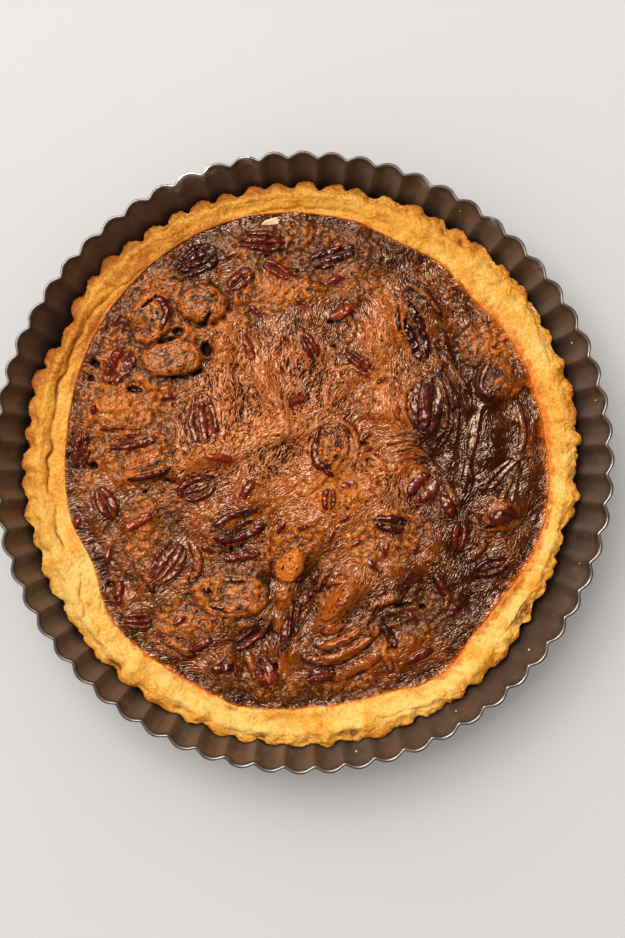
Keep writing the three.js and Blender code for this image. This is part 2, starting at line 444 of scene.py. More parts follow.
def dot(tree, vector, fixed):
    """How far a linked vector goes along a fixed one."""
    made = add_node(tree, "ShaderNodeVectorMath", {"operation": "DOT_PRODUCT"})
    fill(tree, made.inputs[0], vector)
    made.inputs[1].default_value = fixed
    return made.outputs["Value"]


def blend(tree, share, first, second):
    """A colour that goes from the first to the second as the share goes from 0 to 1."""
    made = tree.nodes.new("ShaderNodeMix")
    made.data_type = "RGBA"
    fill(tree, made.inputs["Factor"], share)
    fill(tree, made.inputs[6], first)
    fill(tree, made.inputs[7], second)
    return made.outputs[2]


def ramp(tree, value, low, high, start=0.0, end=1.0):
    """Maps low..high to start..end, eased and clamped."""
    made = tree.nodes.new("ShaderNodeMapRange")
    made.interpolation_type = "SMOOTHSTEP"
    fill(tree, made.inputs["Value"], value)
    for name, level in (("From Min", low), ("From Max", high), ("To Min", start), ("To Max", end)):
        fill(tree, made.inputs[name], level)
    return made.outputs["Result"]


def mask(tree, name):
    """A value that the mesh carries at each of its points."""
    return add_node(tree, "ShaderNodeAttribute", {"attribute_name": name}).outputs["Fac"]


def grain(tree, per_metre, detail=2.0, roughness=0.5):
    """Noise with so many lumps to the metre, from 0 to 1."""
    place = add_node(tree, "ShaderNodeTexCoord").outputs["Object"]
    made = add_node(
        tree, "ShaderNodeTexNoise", {}, Vector=place, Scale=per_metre, Detail=detail,
        Roughness=roughness,
    )
    return made.outputs["Fac"]


def new_group(name, inputs, outputs):
    """A shader node group with float inputs and the named outputs."""
    tree = bpy.data.node_groups.new(name, "ShaderNodeTree")
    for label, default in inputs:
        socket = tree.interface.new_socket(
            name=label, in_out="INPUT", socket_type="NodeSocketFloat"
        )
        socket.default_value = default
    for label, kind in outputs:
        tree.interface.new_socket(name=label, in_out="OUTPUT", socket_type=kind)
    entry = tree.nodes.new("NodeGroupInput")
    leave = tree.nodes.new("NodeGroupOutput")
    return tree, entry.outputs, leave.inputs


def use_group(tree, group, **inputs):
    """Puts a group in a tree; each input, named with _ for a space, takes a value or a link."""
    made = tree.nodes.new("ShaderNodeGroup")
    made.node_tree = group
    for key, value in inputs.items():
        fill(tree, made.inputs[key.replace("_", " ")], value)
    return made.outputs


def new_material(name):
    """A node material with its Principled shader, ready to be filled."""
    look = bpy.data.materials.new(name)
    look.use_nodes = True
    return look, look.node_tree, look.node_tree.nodes["Principled BSDF"]


def bump(tree, shader, height, distance, strength=1.0):
    """Fine relief of the finish, too fine for the mesh."""
    made = add_node(
        tree, "ShaderNodeBump", {}, Strength=strength, Distance=distance, Height=height
    )
    tree.links.new(made.outputs["Normal"], shader.inputs["Normal"])


def drawn_wrinkles(tree, per_metre, stretch):
    """Wrinkles along the skin's run, mixed from six fixed headings, about -0.4 to 0.1."""
    run = add_node(tree, "ShaderNodeAttribute", {"attribute_name": "run"}).outputs["Vector"]
    place = add_node(tree, "ShaderNodeTexCoord").outputs["Object"]
    strength = add_node(tree, "ShaderNodeVectorMath", {"operation": "LENGTH"})
    fill(tree, strength.inputs[0], run)
    crest_width = 0.12
    total = 0.0
    for heading in range(0, 180, 30):
        way = add_node(tree, "ShaderNodeVectorRotate", {"rotation_type": "Z_AXIS"}, Vector=place)
        way.inputs["Angle"].default_value = -math.radians(heading)
        drawn = add_node(tree, "ShaderNodeVectorMath", {"operation": "MULTIPLY"})
        fill(tree, drawn.inputs[0], way.outputs["Vector"])
        drawn.inputs[1].default_value = (1 / stretch, 1, 1)
        lines = add_node(
            tree, "ShaderNodeTexNoise", {}, Vector=drawn.outputs[0], Scale=per_metre, Detail=0.0,
            Distortion=0.8,
        ).outputs["Fac"]
        away = calc(tree, "ABSOLUTE", calc(tree, "SUBTRACT", lines, 0.5))
        crest = calc(tree, "SUBTRACT", crest_width, away)
        double = math.radians(2 * heading)
        along = dot(tree, run, (math.cos(double), math.sin(double), 0))
        near = calc(tree, "MULTIPLY_ADD", strength.outputs["Value"], -0.4, along)
        share = calc(tree, "MAXIMUM", times(tree, near, 1.6), 0.0)
        total = calc(tree, "MULTIPLY_ADD", crest, share, total)
    return total


def foam_pores(tree, foam, size):
    """Round pores of three sizes, 1 inside them; only the densest cells of each size open."""
    place = add_node(tree, "ShaderNodeTexCoord").outputs["Object"]
    widen = ramp(tree, foam, 0.0, 0.8, 0.15, 1.3)
    pores = 0.0
    for per_metre, closed_share in ((1400.0, 0.45), (800.0, 0.6), (480.0, 0.82)):
        cells = add_node(
            tree, "ShaderNodeTexVoronoi", {"feature": "F1"}, Vector=place, Scale=per_metre
        )
        kinds = add_node(tree, "ShaderNodeSeparateColor", {}, Color=cells.outputs["Color"])
        radius = ramp(tree, kinds.outputs["Red"], closed_share, 1.0, 0.0, 0.31)
        radius = times(tree, times(tree, radius, size), widen)
        inside = calc(tree, "SUBTRACT", radius, cells.outputs["Distance"])
        pores = calc(tree, "MAXIMUM", pores, ramp(tree, inside, -0.08, 0.08))
    return pores


def baked_group():
    """The baked top that the filling and the pecan pieces share: skin, foam and pores, with painted
    sheen on the skin and painted shade in the pores.
    """
    if "baked_top" in bpy.data.node_groups:
        return bpy.data.node_groups["baked_top"]
    tints = bpy.context.scene.pie_filling
    tree, given, out = new_group(
        "baked_top",
        [("Foam", 0.5), ("Tone", 0.5), ("Pore Size", 0.5), ("Crests", 0.0)],
        [("Color", "NodeSocketColor"), ("Roughness", "NodeSocketFloat"),
         ("Height", "NodeSocketFloat")],
    )
    blotches = grain(tree, 130, 4, 0.6)
    fine = grain(tree, 900, 3, 0.65)
    knobs = grain(tree, 900, 0)
    wrinkles = drawn_wrinkles(tree, per_metre=820.0, stretch=3.8)
    # The foam's edge is ragged.
    ragged = calc(tree, "MULTIPLY_ADD", blotches, 0.8, times(tree, fine, 0.5))
    foam = calc(tree, "ADD", given["Foam"], calc(tree, "SUBTRACT", ragged, 0.65))
    foam = ramp(tree, foam, 0.3, 0.7)
    # Painted light: the skin is paler along its wrinkles' crests, and takes a painted sheen where it is
    # most drawn.
    sheen_lift = calc(tree, "MULTIPLY_ADD", given["Crests"], 2.4, 2.2)
    shift = calc(
        tree, "MULTIPLY_ADD", wrinkles, sheen_lift, roughen(tree, given["Tone"], fine, 0.6)
    )
    skin = blend(tree, ramp(tree, shift, -0.1, 1.15), tints.skin_dark, tints.skin_light)
    painted_sheen = times(tree, ramp(tree, wrinkles, 0.0, 0.14), given["Crests"])
    skin = blend(tree, times(tree, painted_sheen, 0.65), skin, tints.crest)
    # The foam is speckled, and its open pores are painted dark as shade.
    crisped = roughen(tree, given["Tone"], fine, 2.6)
    crisp = blend(tree, ramp(tree, crisped, -0.1, 1.15), tints.foam_dark, tints.foam_light)
    pores = foam_pores(tree, foam, given["Pore Size"])
    fill(tree, out["Color"], blend(tree, pores, blend(tree, foam, skin, crisp), tints.pore_shade))
    # The skin is glossy and wrinkled, the foam dull and knobby.
    rough = calc(tree, "MULTIPLY_ADD", fine, 0.4, foam)
    fill(tree, out["Roughness"], ramp(tree, rough, 0.1, 1.3, 0.26, 0.5))
    rugged = times(tree, knobs, calc(tree, "MULTIPLY_ADD", foam, 0.7, 0.2))
    folds = times(tree, wrinkles, calc(tree, "MULTIPLY_ADD", foam, -2.3, 2.7))
    height = calc(tree, "SUBTRACT", calc(tree, "ADD", rugged, folds), times(tree, pores, 0.35))
    fill(tree, out["Height"], height)
    return tree


def specks_group():
    """Fine specks and blotches of a browned pastry face."""
    tree, given, out = new_group(
        "browning", [("Lumps", 90.0)],
        [("Blotches", "NodeSocketFloat"), ("Specks", "NodeSocketFloat"),
         ("Height", "NodeSocketFloat")],
    )
    blotches = grain(tree, given["Lumps"], 5, 0.62)
    fine = grain(tree, 700, 3, 0.6)
    floury = grain(tree, 1700, 2, 0.6)
    fill(tree, out["Blotches"], ramp(tree, blotches, 0.32, 0.68))
    fill(tree, out["Specks"], ramp(tree, fine, 0.56, 0.72))
    fill(tree, out["Height"], calc(tree, "MULTIPLY_ADD", fine, 0.7, times(tree, floury, 0.3)))
    return tree


# ------------------------------------------------------------------------ tin


def flute_wave(step, flutes):
    """The flutes' section, 2 from crest to trough: broad crests and tight troughs."""
    smooth = np.cos(step * flutes) - 0.2 * np.cos(2 * step * flutes)
    tight = 2 * np.abs(np.cos(0.5 * step * flutes)) - 1.2
    return 0.45 * smooth + 0.55 * tight


def wander(shape, step):
    """The true angle of a step round the rim, since the flutes are a little uneven."""
    return step + shape.turn + shape.drift * np.cos(step - shape.drift_towards)


def wall_radius(tin, z):
    """Middle of the tin's slanting wall at a height, without the flutes."""
    return tin.base_radius + (tin.rim_radius - tin.base_radius) * z / TIN_TOP


def flute_at(tin, step, z):
    """How far the flutes push the wall out, less at the foot than at the rim."""
    share = tin.base_share + (1 - tin.base_share) * z / TIN_TOP
    return 0.5 * tin.flute_depth * share * flute_wave(step, tin.flutes)


def tin_section(tin):
    """The wall's section as [offset from the wall's middle, height, on the axis]."""
    half, bead = 0.5 * tin.sheet, tin.bead_radius
    top = TIN_TOP - bead
    section = [(0, 0, True), (0, 0, False), (half * 0.7, 0, False), (half, half * 0.5, False)]
    for z in np.linspace(2 * MM, top - 1.3 * bead, 7):
        section.append((half, z, False))
    for angle in np.linspace(-0.28, 1.22, 9) * math.pi:
        section.append((bead * math.cos(angle), top + bead * math.sin(angle), False))
    for z in np.linspace(top - 1.4 * bead, 3 * tin.sheet, 11):
        section.append((-half, z, False))
    section += [(-half - 0.3 * MM, 1.4 * tin.sheet, False), (-half - 1.2 * MM, tin.sheet, False)]
    section += [(-6 * MM, tin.sheet, False), (0, tin.sheet, True)]
    return section


def tin_material():
    """Dark non-stick coat, stained and smudged, with painted shade and light on the flutes, bare and
    bright along the rim's bead with a painted highlight.
    """
    tints = bpy.context.scene.pie_tin
    look, tree, shader = new_material("dark_tin")
    trough, worn = mask(tree, "trough"), mask(tree, "worn")
    clouds = grain(tree, 55, 4, 0.6)
    streaks = grain(tree, 260, 5, 0.7)
    specks = grain(tree, 1500, 2, 0.5)
    dark = [0.45 * level for level in tints.coat]
    # Baking stain, with painted light on the same side of every flute.
    stain_and_light = calc(tree, "MULTIPLY_ADD", clouds, 0.9, mask(tree, "stain_and_flank_light"))
    smudged = times(tree, ramp(tree, streaks, 0.42, 0.75), trough)
    # Painted shade in the flute troughs.
    trough_shade = times(tree, trough, ramp(tree, streaks, 0.3, 0.6, 0.15, 0.65))
    # Painted light and shade on each flute's sides, from the side mask.
    shade = roughen(tree, mask(tree, "side"), streaks, 0.5)
    patchy = ramp(tree, grain(tree, 110, 5, 0.75), 0.5, 0.68)
    base = tints.coat
    for share, tint in (
        (ramp(tree, stain_and_light, 0.35, 0.95), tints.tint),
        (times(tree, smudged, 0.55), tints.bloom_and_light),
        (trough_shade, dark),
        (ramp(tree, shade, 0.1, 0.5, 0.5, 0.0), dark),
        (ramp(tree, shade, 0.55, 1.0, 0.0, 0.4), tints.bloom_and_light),
        (times(tree, mask(tree, "lip"), 0.85), dark),
        (times(tree, ramp(tree, specks, 0.66, 0.76), 0.4), tints.bare),
        (times(tree, patchy, 0.4), tints.bloom_and_light),
    ):
        base = blend(tree, share, base, tint)
    # Bare metal where the coat is worn off, and along the bead a painted highlight line.
    wear_and_highlight = times(tree, mask(tree, "bead"), ramp(tree, streaks, 0.3, 0.65, 0.15, 0.8))
    wear_and_highlight = calc(tree, "MAXIMUM", wear_and_highlight, times(tree, worn, ramp(tree, streaks, 0.4, 0.6)))
    fill(tree, shader.inputs["Base Color"], blend(tree, wear_and_highlight, base, tints.bare))
    fill(tree, shader.inputs["Metallic"], ramp(tree, wear_and_highlight, 0.1, 0.7, 0.05, 0.3))
    rough = calc(tree, "MULTIPLY_ADD", clouds, 0.25, 0.28)
    rough = calc(tree, "MULTIPLY_ADD", wear_and_highlight, -0.2, rough)
    rough = calc(tree, "MULTIPLY_ADD", mask(tree, "rim"), -0.05, rough)
    fill(tree, shader.inputs["Roughness"], rough)
    bump(tree, shader, calc(tree, "MULTIPLY_ADD", specks, 0.5, streaks), 0.05 * MM, 0.6)
    return look


class PIE_OT_tin(bpy.types.Operator):
    """Makes the fluted tin with its rolled rim"""

    bl_idname = "pie.tin"
    bl_label = "Fluted Tin"

    steps_per_flute = 20
    lit_from = math.radians(130)
    # Where the coat is worn off the rim, in degrees: [direction, half-width].
    worn_places = [(114, 3.2), (108, 2.4), (100, 1.6), (66, 1.2), (52, 1.6), (39, 1.4)]

    def execute(self, context):
        tin = context.scene.pie_tin
        steps = tin.flutes * self.steps_per_flute
        section = tin_section(tin)
        offset, height, on_axis = (np.array(values) for values in zip(*section))
        step = np.repeat(np.arange(steps) * (2 * np.pi / steps), len(section))
        z = np.tile(height, steps)
        middle = np.tile(on_axis, steps)
        radius = wall_radius(tin, z) + flute_at(tin, step, z) + np.tile(offset, steps)
        radius = np.where(middle, 0, radius)
        angle = wander(tin, step)
        points = np.stack([radius * np.cos(angle), radius * np.sin(angle), z], 1)
        dents = (layered(points, 34 * MM, 5, 2) - 1) * 0.16 * MM * (~middle) * (z > 2 * MM)
        points[:, 0] += dents * np.cos(angle)
        points[:, 1] += dents * np.sin(angle)
        points[:, 2] = np.clip(points[:, 2], 0, TIN_TOP)
        piece(
            "tin_shell", points, wrapped_grid(steps, len(section)), tin_material(),
            ["tin"], self.masks(tin, section, steps, step, z, angle, points),
        )
        return {"FINISHED"}

    def masks(self, tin, section, steps, step, z, angle, points):
        """Where the coat is dark, smudged, worn and stained, and where shade and light are painted."""
        phase = np.abs(wrapped(np.degrees(step * tin.flutes) + 180))
        trough = bell(phase, 20)
        top = TIN_TOP - tin.bead_radius
        # The bead's band: partly real wear, partly a painted highlight line on its top inner side.
        ridge = [bell(offset / tin.bead_radius + 0.22, 0.24) for offset, _, _ in section]
        over = np.tile(ridge, steps)
        bead = between(z, top + 0.35 * tin.bead_radius, TIN_TOP) * over
        worn = np.zeros_like(z)
        for towards, half_width in self.worn_places:
            worn += facing(np.degrees(angle), towards, half_width)
        worn *= between(z, top - 4 * MM, top)
        # Painted light: the same side of every flute takes more of the paler stain tint.
        flank_light = wrapped(np.degrees(step * tin.flutes)) / 180
        lift = layered(points, 20 * MM, 9, 2)
        # Painted light and shade: each flute's side that faces the lamp is paler, the other darker.
        apart = 0.001
        rise = flute_at(tin, step + apart, z) - flute_at(tin, step - apart, z)
        slope = -1.2 * rise / (2 * apart * tin.rim_radius) * np.sin(angle - self.lit_from)
        stain_and_flank_light = 0.5 * between(z, 0.55 * top, top) + 0.35 * lift + 0.25 * flank_light
        fade = bell(z - (top - 5 * MM), 7 * MM)
        return {
            "trough": trough * (0.45 + 0.55 * fade), "rim": between(z, top - 6 * MM, top),
            "bead": bead, "worn": np.clip(worn, 0, 1), "stain_and_flank_light": stain_and_flank_light,
            "lip": between(z, top - 0.6 * tin.bead_radius, top), "side": np.clip(0.5 + slope, 0, 1),
        }


# ---------------------------------------------------------------------- crust

# Swellings of the pastry's edges: [direction, half-width in degrees, mm outwards].
OUTER_SWELLS = [
    (40, 22, 1.6), (133, 6, 1.0), (151, 6, -3.8), (172, 14, -1.0), (268, 26, 1.6), (345, 20, -3.2),
]
INNER_SWELLS = [
    (105, 32, 4.4), (178, 24, -3.8), (205, 9, -5.2), (222, 9, 1.0), (257, 9, 3.0),
    (303, 9, 4.0), (322, 8, -2.0), (347, 16, 2.8), (43, 8, -2.6), (66, 7, -1.6),
]
FOLD_SWELLS = [(172, 24, 3.0), (205, 12, 2.6), (86, 20, 1.6), (262, 18, 1.4), (318, 14, 1.0)]

# Long creases of the rim: [from, to in degrees, share of the width at each end, depth,
# half-width and how far the ledge inside it lies lower, in mm].
CREASES = [
    (128, 147, 0.04, 0.38, 1.2, 0.7, 1.0), (145, 206, 0.38, 0.36, 2.0, 0.75, 1.2),
    (68, 108, 0.3, 0.04, 0.9, 0.6, 1.6), (206, 216, 0.36, 0.62, 1.6, 0.6, 0.6),
    (20, 33, 0.66, 0.8, 0.8, 0.6, 0), (286, 300, 0.55, 0.72, 1.0, 0.7, 0),
    (318, 332, 0.6, 0.75, 0.9, 0.6, 0),
]
# Pads and flaps pressed onto the rim: [direction, share of the width, half-length, half-width,
# turn in degrees, height in mm].
PADS = [
    (209, 0.34, 12, 3.6, -4, 1.7), (214, 0.16, 7, 2.6, 30, 1.1), (219, 0.62, 7, 2.4, 14, 1.3),
    (200, 0.12, 9, 2.0, 3, 1.0), (75, 0.06, 5, 1.3, 6, 0.9), (58, 0.35, 6, 3.2, 40, 1.0),
    (45, 0.6, 6, 3.4, -20, 1.3), (39, 0.9, 7, 1.6, 4, 1.4), (137, 0.5, 3, 0.9, 60, 0.9),
    (32, 0.75, 5, 2.4, 10, 1.0), (350, 0.7, 6, 3, 12, 0.9), (312, 0.68, 8, 2.8, -10, 1.2),
    (296, 0.7, 9, 3, -8, 1.2), (276, 0.55, 11, 3.4, -6, 0.9), (246, 0.5, 9, 3.4, 8, 1.0),
    (235, 0.66, 6, 3, -16, 1.2), (160, 0.7, 6, 3, 10, 0.7), (12, 0.55, 7, 2.6, 14, 0.9),
]
# Cracks of the roll: [direction, share of the width, half-length, turn in degrees, depth in mm].
CRACKS = [
    (135, 0.66, 3.4, 62, 1.0), (71, 0.62, 4.6, 74, 1.3), (113, 0.5, 6, 84, 0.4), (98, 0.5, 4, 70, 0.4),
    (48, 0.42, 3.6, 30, 0.8), (247, 0.42, 3, 76, 0.9), (223, 0.45, 2.4, -10, 0.9),
    (293, 0.45, 5, 82, 1.1), (337, 0.4, 6, 88, 0.9), (318, 0.5, 3.4, 60, 0.8), (9, 0.4, 5, 86, 0.6),
    (182, 0.7, 3, 80, 0.7), (158, 0.62, 3, 70, 0.7), (2, 0.62, 3.5, 50, 0.8),
]


def inner_edge(crust, angle):
    """The pastry's inner edge, where the filling ends."""
    return crust.inner_radius + swelling(INNER_SWELLS, angle)


def room_in_tin(tin, crust, angle, z):
    """The radius that the tin's wall leaves free at an angle and height."""
    step = 2 * angle - wander(tin, angle)
    return wall_radius(tin, z) + flute_at(tin, step, z) - 0.5 * tin.sheet - crust.clearance


def curve_weights(count, samples):
    """Weights that carry a smooth curve through control points, and each sample's place."""
    rows, places = [], []
    for segment, amount in enumerate(samples):
        for t in np.arange(amount) / amount:
            row = np.zeros(count)
            near = [max(segment - 1, 0), segment, segment + 1, min(segment + 2, count - 1)]
            parts = [
                0.5 * (-t + 2 * t * t - t ** 3), 0.5 * (2 - 5 * t * t + 3 * t ** 3),
                0.5 * (t + 4 * t * t - 3 * t ** 3), 0.5 * (t ** 3 - t * t),
            ]
            for index, part in zip(near, parts):
                row[index] += part
            rows.append(row)
            places.append(segment + t)
    last = np.zeros(count)
    last[-1] = 1
    rows.append(last)
    places.append(count - 1)
    return np.array(rows), np.array(places)


def crust_outline(crust, tin, step):
    """The case's section at each step, from the floor's middle over the rim to the underside.

    Gives the true angles, the section's control radii and heights, the inner edge and the
    rim's width.
    """
    angle = wander(crust, step)
    lively = 1 - 0.3 * between(np.abs(wrapped(np.degrees(angle) - 140)), 60, 110)
    scallop = 0.3 * crust.scallop_depth * flute_wave(step, tin.flutes) * lively
    outer = crust.radius + swelling(OUTER_SWELLS, angle)
    inner = inner_edge(crust, angle)
    width = outer - inner
    fold = swelling(FOLD_SWELLS, angle)
    roll = crust.roll_height + (0.7 * np.sin(5 * angle + 1) + 0.5 * np.sin(13 * angle)) * MM
    even = np.ones_like(angle)
    rounded = 0.25 + 0.75 * facing(np.degrees(angle), 140, 75)
    radii = [
        0 * even, inner - crust.wall_lean, inner - 0.1 * crust.wall_lean, inner + 0.06 * width,
        inner + 0.28 * width, inner + 0.46 * width, inner + 0.64 * width,
        outer - 0.17 * width + 0.6 * scallop, outer + 0.95 * scallop - 0.02 * width,
        outer + scallop, outer - 4 * MM + 0.8 * scallop, crust.foot_radius + 0.4 * scallop,
        (crust.foot_radius - 2 * MM) * even, 0 * even,
    ]
    heights = [
        crust.base_top * even, crust.base_top * even, crust.inner_height - 2.4 * MM * even,
        crust.inner_height + (0.1 - 0.5 * rounded) * MM,
        roll - (1.3 - 0.5 * rounded) * MM - 0.25 * fold,
        roll + (1.1 * rounded - 0.4) * MM - 0.35 * fold,
        roll + (1.65 * rounded - 0.1) * MM, roll + (0.3 * rounded - 1.2) * MM,
        (roll + crust.widest_height) / 2 + 0.3 * MM, crust.widest_height * even,
        crust.widest_height - 8 * MM * even, crust.underside + 1.4 * MM * even,
        crust.underside * even, crust.underside * even,
    ]
    return angle, np.array(radii), np.array(heights), inner, width


def crust_material():
    """Short pastry baked golden, toasted on its lobes, stained by syrup at the seam, with painted shade
    in its creases and on its upper-left side.
    """
    tints = bpy.context.scene.pie_crust
    look, tree, shader = new_material("baked_pastry")
    brown = use_group(tree, specks_group(), Lumps=95.0)
    # The baked mask holds real browning and also painted light and shade.
    baked = roughen(tree, mask(tree, "baked"), grain(tree, 28, 3, 0.6), 0.9)
    baked = roughen(tree, baked, brown["Blotches"], 0.5)
    baked = roughen(tree, baked, grain(tree, 760, 4, 0.75), 1.5)
    # Painted shade in the creases and hollows.
    deep = roughen(tree, mask(tree, "deep"), grain(tree, 500, 3, 0.6), 0.6)
    syrup = roughen(tree, mask(tree, "syrup"), grain(tree, 420, 4, 0.7), 1.8)
    syrup = ramp(tree, syrup, 0.2, 1.1)
    base = tints.pale
    for share, tint in (
        (ramp(tree, baked, -0.1, 0.5), tints.golden),
        (ramp(tree, baked, 0.45, 1.1), tints.toasted_and_shaded),
        (times(tree, brown["Specks"], 0.25), tints.toasted_and_shaded),
        (ramp(tree, deep, 0.1, 1.0, 0.0, 0.85), tints.crease_shade),
        (times(tree, syrup, 0.92), tints.caramel),
    ):
        base = blend(tree, share, base, tint)
    fill(tree, shader.inputs["Base Color"], base)
    fill(tree, shader.inputs["Roughness"], ramp(tree, syrup, 0.1, 0.9, 0.62, 0.45))
    shader.inputs["Specular IOR Level"].default_value = 0.18
    bump(tree, shader, brown["Height"], 0.95 * MM, 1.0)
    return look


class PIE_OT_crust(bpy.types.Operator):
    """Makes the pastry case with its pressed, folded rim"""

    bl_idname = "pie.crust"
    bl_label = "Pastry Case"

    steps_per_flute = 17
    samples = [1, 2, 3, 5, 5, 7, 7, 7, 6, 6, 8, 2, 1]

    def execute(self, context):
        crust, tin = context.scene.pie_crust, context.scene.pie_tin
        steps = tin.flutes * self.steps_per_flute
        step = np.arange(steps) * (2 * np.pi / steps)
        angle, radii, heights, inner, width = crust_outline(crust, tin, step)
        weights, places = curve_weights(len(radii), self.samples)
        rings = len(places)
        radius = np.maximum(weights @ radii, 0).T.ravel()
        height = (weights @ heights).T.ravel()
        around = np.repeat(angle, rings)
        degrees = np.degrees(around)
        width = np.repeat(width, rings)
        place = np.tile(places, steps)
        points = np.stack([
            crust.centre[0] + radius * np.cos(around),
            crust.centre[1] + radius * np.sin(around), height,
        ], 1)
        share = (radius - np.repeat(inner, rings)) / width
        # Places along the section that count as the top and as the shown face.
        top = between(place, 2.2, 3.2) * (1 - between(place, 8.3, 9.5))
        shown = between(place, 1.5, 3) * (1 - between(place, 10.5, 11.5))
        normals = grid_normals(points, steps, rings)
        relief = self.lumps(points, degrees, share, width) * shown
        pressed, ledge = self.pressed(points, degrees, share, width, crust.radius)
        relief += pressed * top
        ledge *= top
        lobes = self.knuckles(tin, np.repeat(step, rings), points, degrees, share) * shown
        points += normals * (relief + lobes - ledge)[:, None]
        points = self.kept_in(points, tin, crust)
        masks = self.masks(points, degrees, share, relief + 0.5 * lobes, place)
        # The section runs inwards to outwards over the top, which needs the faces turned.
        piece(
            "pastry_case", points, wrapped_grid(steps, rings)[:, ::-1], crust_material(),
            ["crust"], masks,
        )
        return {"FINISHED"}

    def knuckles(self, tin, step, points, degrees, share):
        """Pillows pressed between the flutes, with sharp creases between them."""
        tidy = facing(degrees, 135, 60)
        sway = (2.0 - 1.9 * tidy) * noise(points, 16 * MM, 25) + 1.2 * (share - 1)
        pillow = np.abs(np.cos(0.5 * tin.flutes * step + sway)) ** (0.6 + 0.15 * tidy) - 0.7
        start = 0.3 + 0.22 * tidy
        near = between(share, start, start + 0.6 - 0.3 * tidy)
        near = near * (1 + (1.6 - 1.3 * tidy) * noise(points, 10 * MM, 26))
        return (0.8 + 0.7 * tidy) * MM * np.clip(near, 0, 1.4 - 0.3 * tidy) * pillow

    def lumps(self, points, degrees, share, width):
        """Lumps of the dough and its broken leaves, as metres out of the face."""
        tidy = facing(degrees, 135, 60)
        lumps = 2.0 * noise(points, 12 * MM, 21) + 1.4 * noise(points, 6.5 * MM, 22)
        lumps *= 1 - 0.6 * tidy
        lumps += 0.6 * noise(points, 3.4 * MM, 23) + 0.4 * noise(points, 1.7 * MM, 24)
        lumps += 0.35 * noise(points, 0.9 * MM, 27)
        rough_side = between(np.abs(wrapped(degrees - 150)), 75, 125)
        edge = between(share, 0.6, 0.9)
        angle = np.radians(degrees)
        # The leaves run long round the rim, so the noise is read on a small circle.
        leaf_run = 36 * MM
        leaves = np.stack([
            leaf_run * np.cos(angle), leaf_run * np.sin(angle), share * width + 1.4 * points[:, 2],
        ], 1)
        flaky = 1.6 * np.abs(noise(leaves, 2.4 * MM, 31)) - 0.6
        flaky += np.abs(noise(leaves, 1.3 * MM, 32))
        return (lumps * (0.55 + 0.5 * edge) + flaky * edge * rough_side) * MM

    def pressed(self, points, degrees, share, width, rim_radius):
        """Creases, flaps and cracks as metres out of the face, and the ledges' drop."""
        relief, ledge = np.zeros_like(share), np.zeros_like(share)
        for start, end, first, last, depth, half_width, ledge_drop in CREASES:
            middle, half = (start + end) / 2, (end - start) / 2
            along = wrapped(degrees - middle) / half
            line = first + (last - first) * (along + 1) / 2 + 0.12 * noise(points, 9 * MM, 41)
            across = (share - line) * width / (half_width * MM)
            fade = 1 - between(np.abs(along), 0.8, 1)
            relief -= depth * MM * fade * np.exp(-np.abs(across) ** 1.5)
            ledge += 0.5 * ledge_drop * MM * fade * (1 - between(across, -0.9, 0.9))
        for towards, line, long, wide, lean, high in PADS:
            arc, out = self.local(degrees, share, width, rim_radius, towards, line, lean)
            reach = 1 - (arc / (long * MM)) ** 2 - (out / (wide * MM)) ** 2
            reach = reach + 0.9 * noise(points, 5 * MM, 46) + 0.4 * noise(points, 2.4 * MM, 47)
            relief += 0.8 * high * MM * np.clip(reach, 0, 0.6) ** 0.5
        for towards, line, long, lean, deep in CRACKS:
            arc, out = self.local(degrees, share, width, rim_radius, towards, line, lean)
            out = out + 0.5 * MM * noise(points, 3 * MM, 51)
            fade = np.clip(1 - (arc / (long * MM)) ** 2, 0, 1)
            relief -= 0.8 * deep * MM * fade * np.exp(-np.abs(out / (0.6 * MM)))
        return relief, ledge

    def local(self, degrees, share, width, rim_radius, towards, line, lean):
        """Metres along and across a feature of the rim that leans off the rim's way."""
        arc = np.radians(wrapped(degrees - towards)) * rim_radius
        out = (share - line) * width
        cos, sin = math.cos(math.radians(lean)), math.sin(math.radians(lean))
        return arc * cos + out * sin, out * cos - arc * sin

    def kept_in(self, points, tin, crust):
        """Draws in what would touch the tin's wall, and keeps the underside level."""
        reach = np.hypot(points[:, 0], points[:, 1])
        room = room_in_tin(tin, crust, np.arctan2(points[:, 1], points[:, 0]), points[:, 2])
        scale = np.minimum(1, room / np.maximum(reach, 1e-9))
        points[:, :2] *= scale[:, None]
        points[:, 2] = np.maximum(points[:, 2], crust.underside)
        return points

    def masks(self, points, degrees, share, relief, place):
        """How far the pastry is baked, with painted light and shade, where its creases lie and where
        syrup ran onto it.
        """
        # Browning on the bumps and outer edge; painted shade on the upper-left side and its inner
        # flank; painted light, paler, at the lower right.
        baked = 0.2 + 0.42 * facing(degrees, 135, 55) + 0.3 * between(relief, -0.2 * MM, 1.1 * MM)
        baked += 0.3 * between(share, 0.7, 1.0)
        baked += 0.35 * facing(degrees, 125, 50) * (1 - between(share, 0.02, 0.3))
        baked -= 0.3 * facing(degrees, 205, 14)
        baked -= 0.12 * between(np.abs(wrapped(degrees - 120)), 90, 150)
        # Painted shade where the relief dips.
        deep = between(-relief, 0.5 * MM, 2.2 * MM)
        ragged = 0.25 * noise(points, 7 * MM, 61)
        reach = -0.1 + 0.26 * facing(degrees, 18, 50) + 0.2 * facing(degrees, 148, 13)
        reach += 0.2 * facing(degrees, 232, 18) + 0.2 * facing(degrees, 315, 46)
        drips = ragged + 0.2 * noise(points, 2.6 * MM, 62)
        syrup = 1 - between(share + 0.6 * drips, reach - 0.16, reach + 0.16)
        syrup = np.where(place < 7, syrup, 0)
        return {"baked": baked + 0.3 * ragged, "deep": deep, "syrup": np.clip(syrup, 0, 1)}


# ------------------------------------------------------------------ baked top

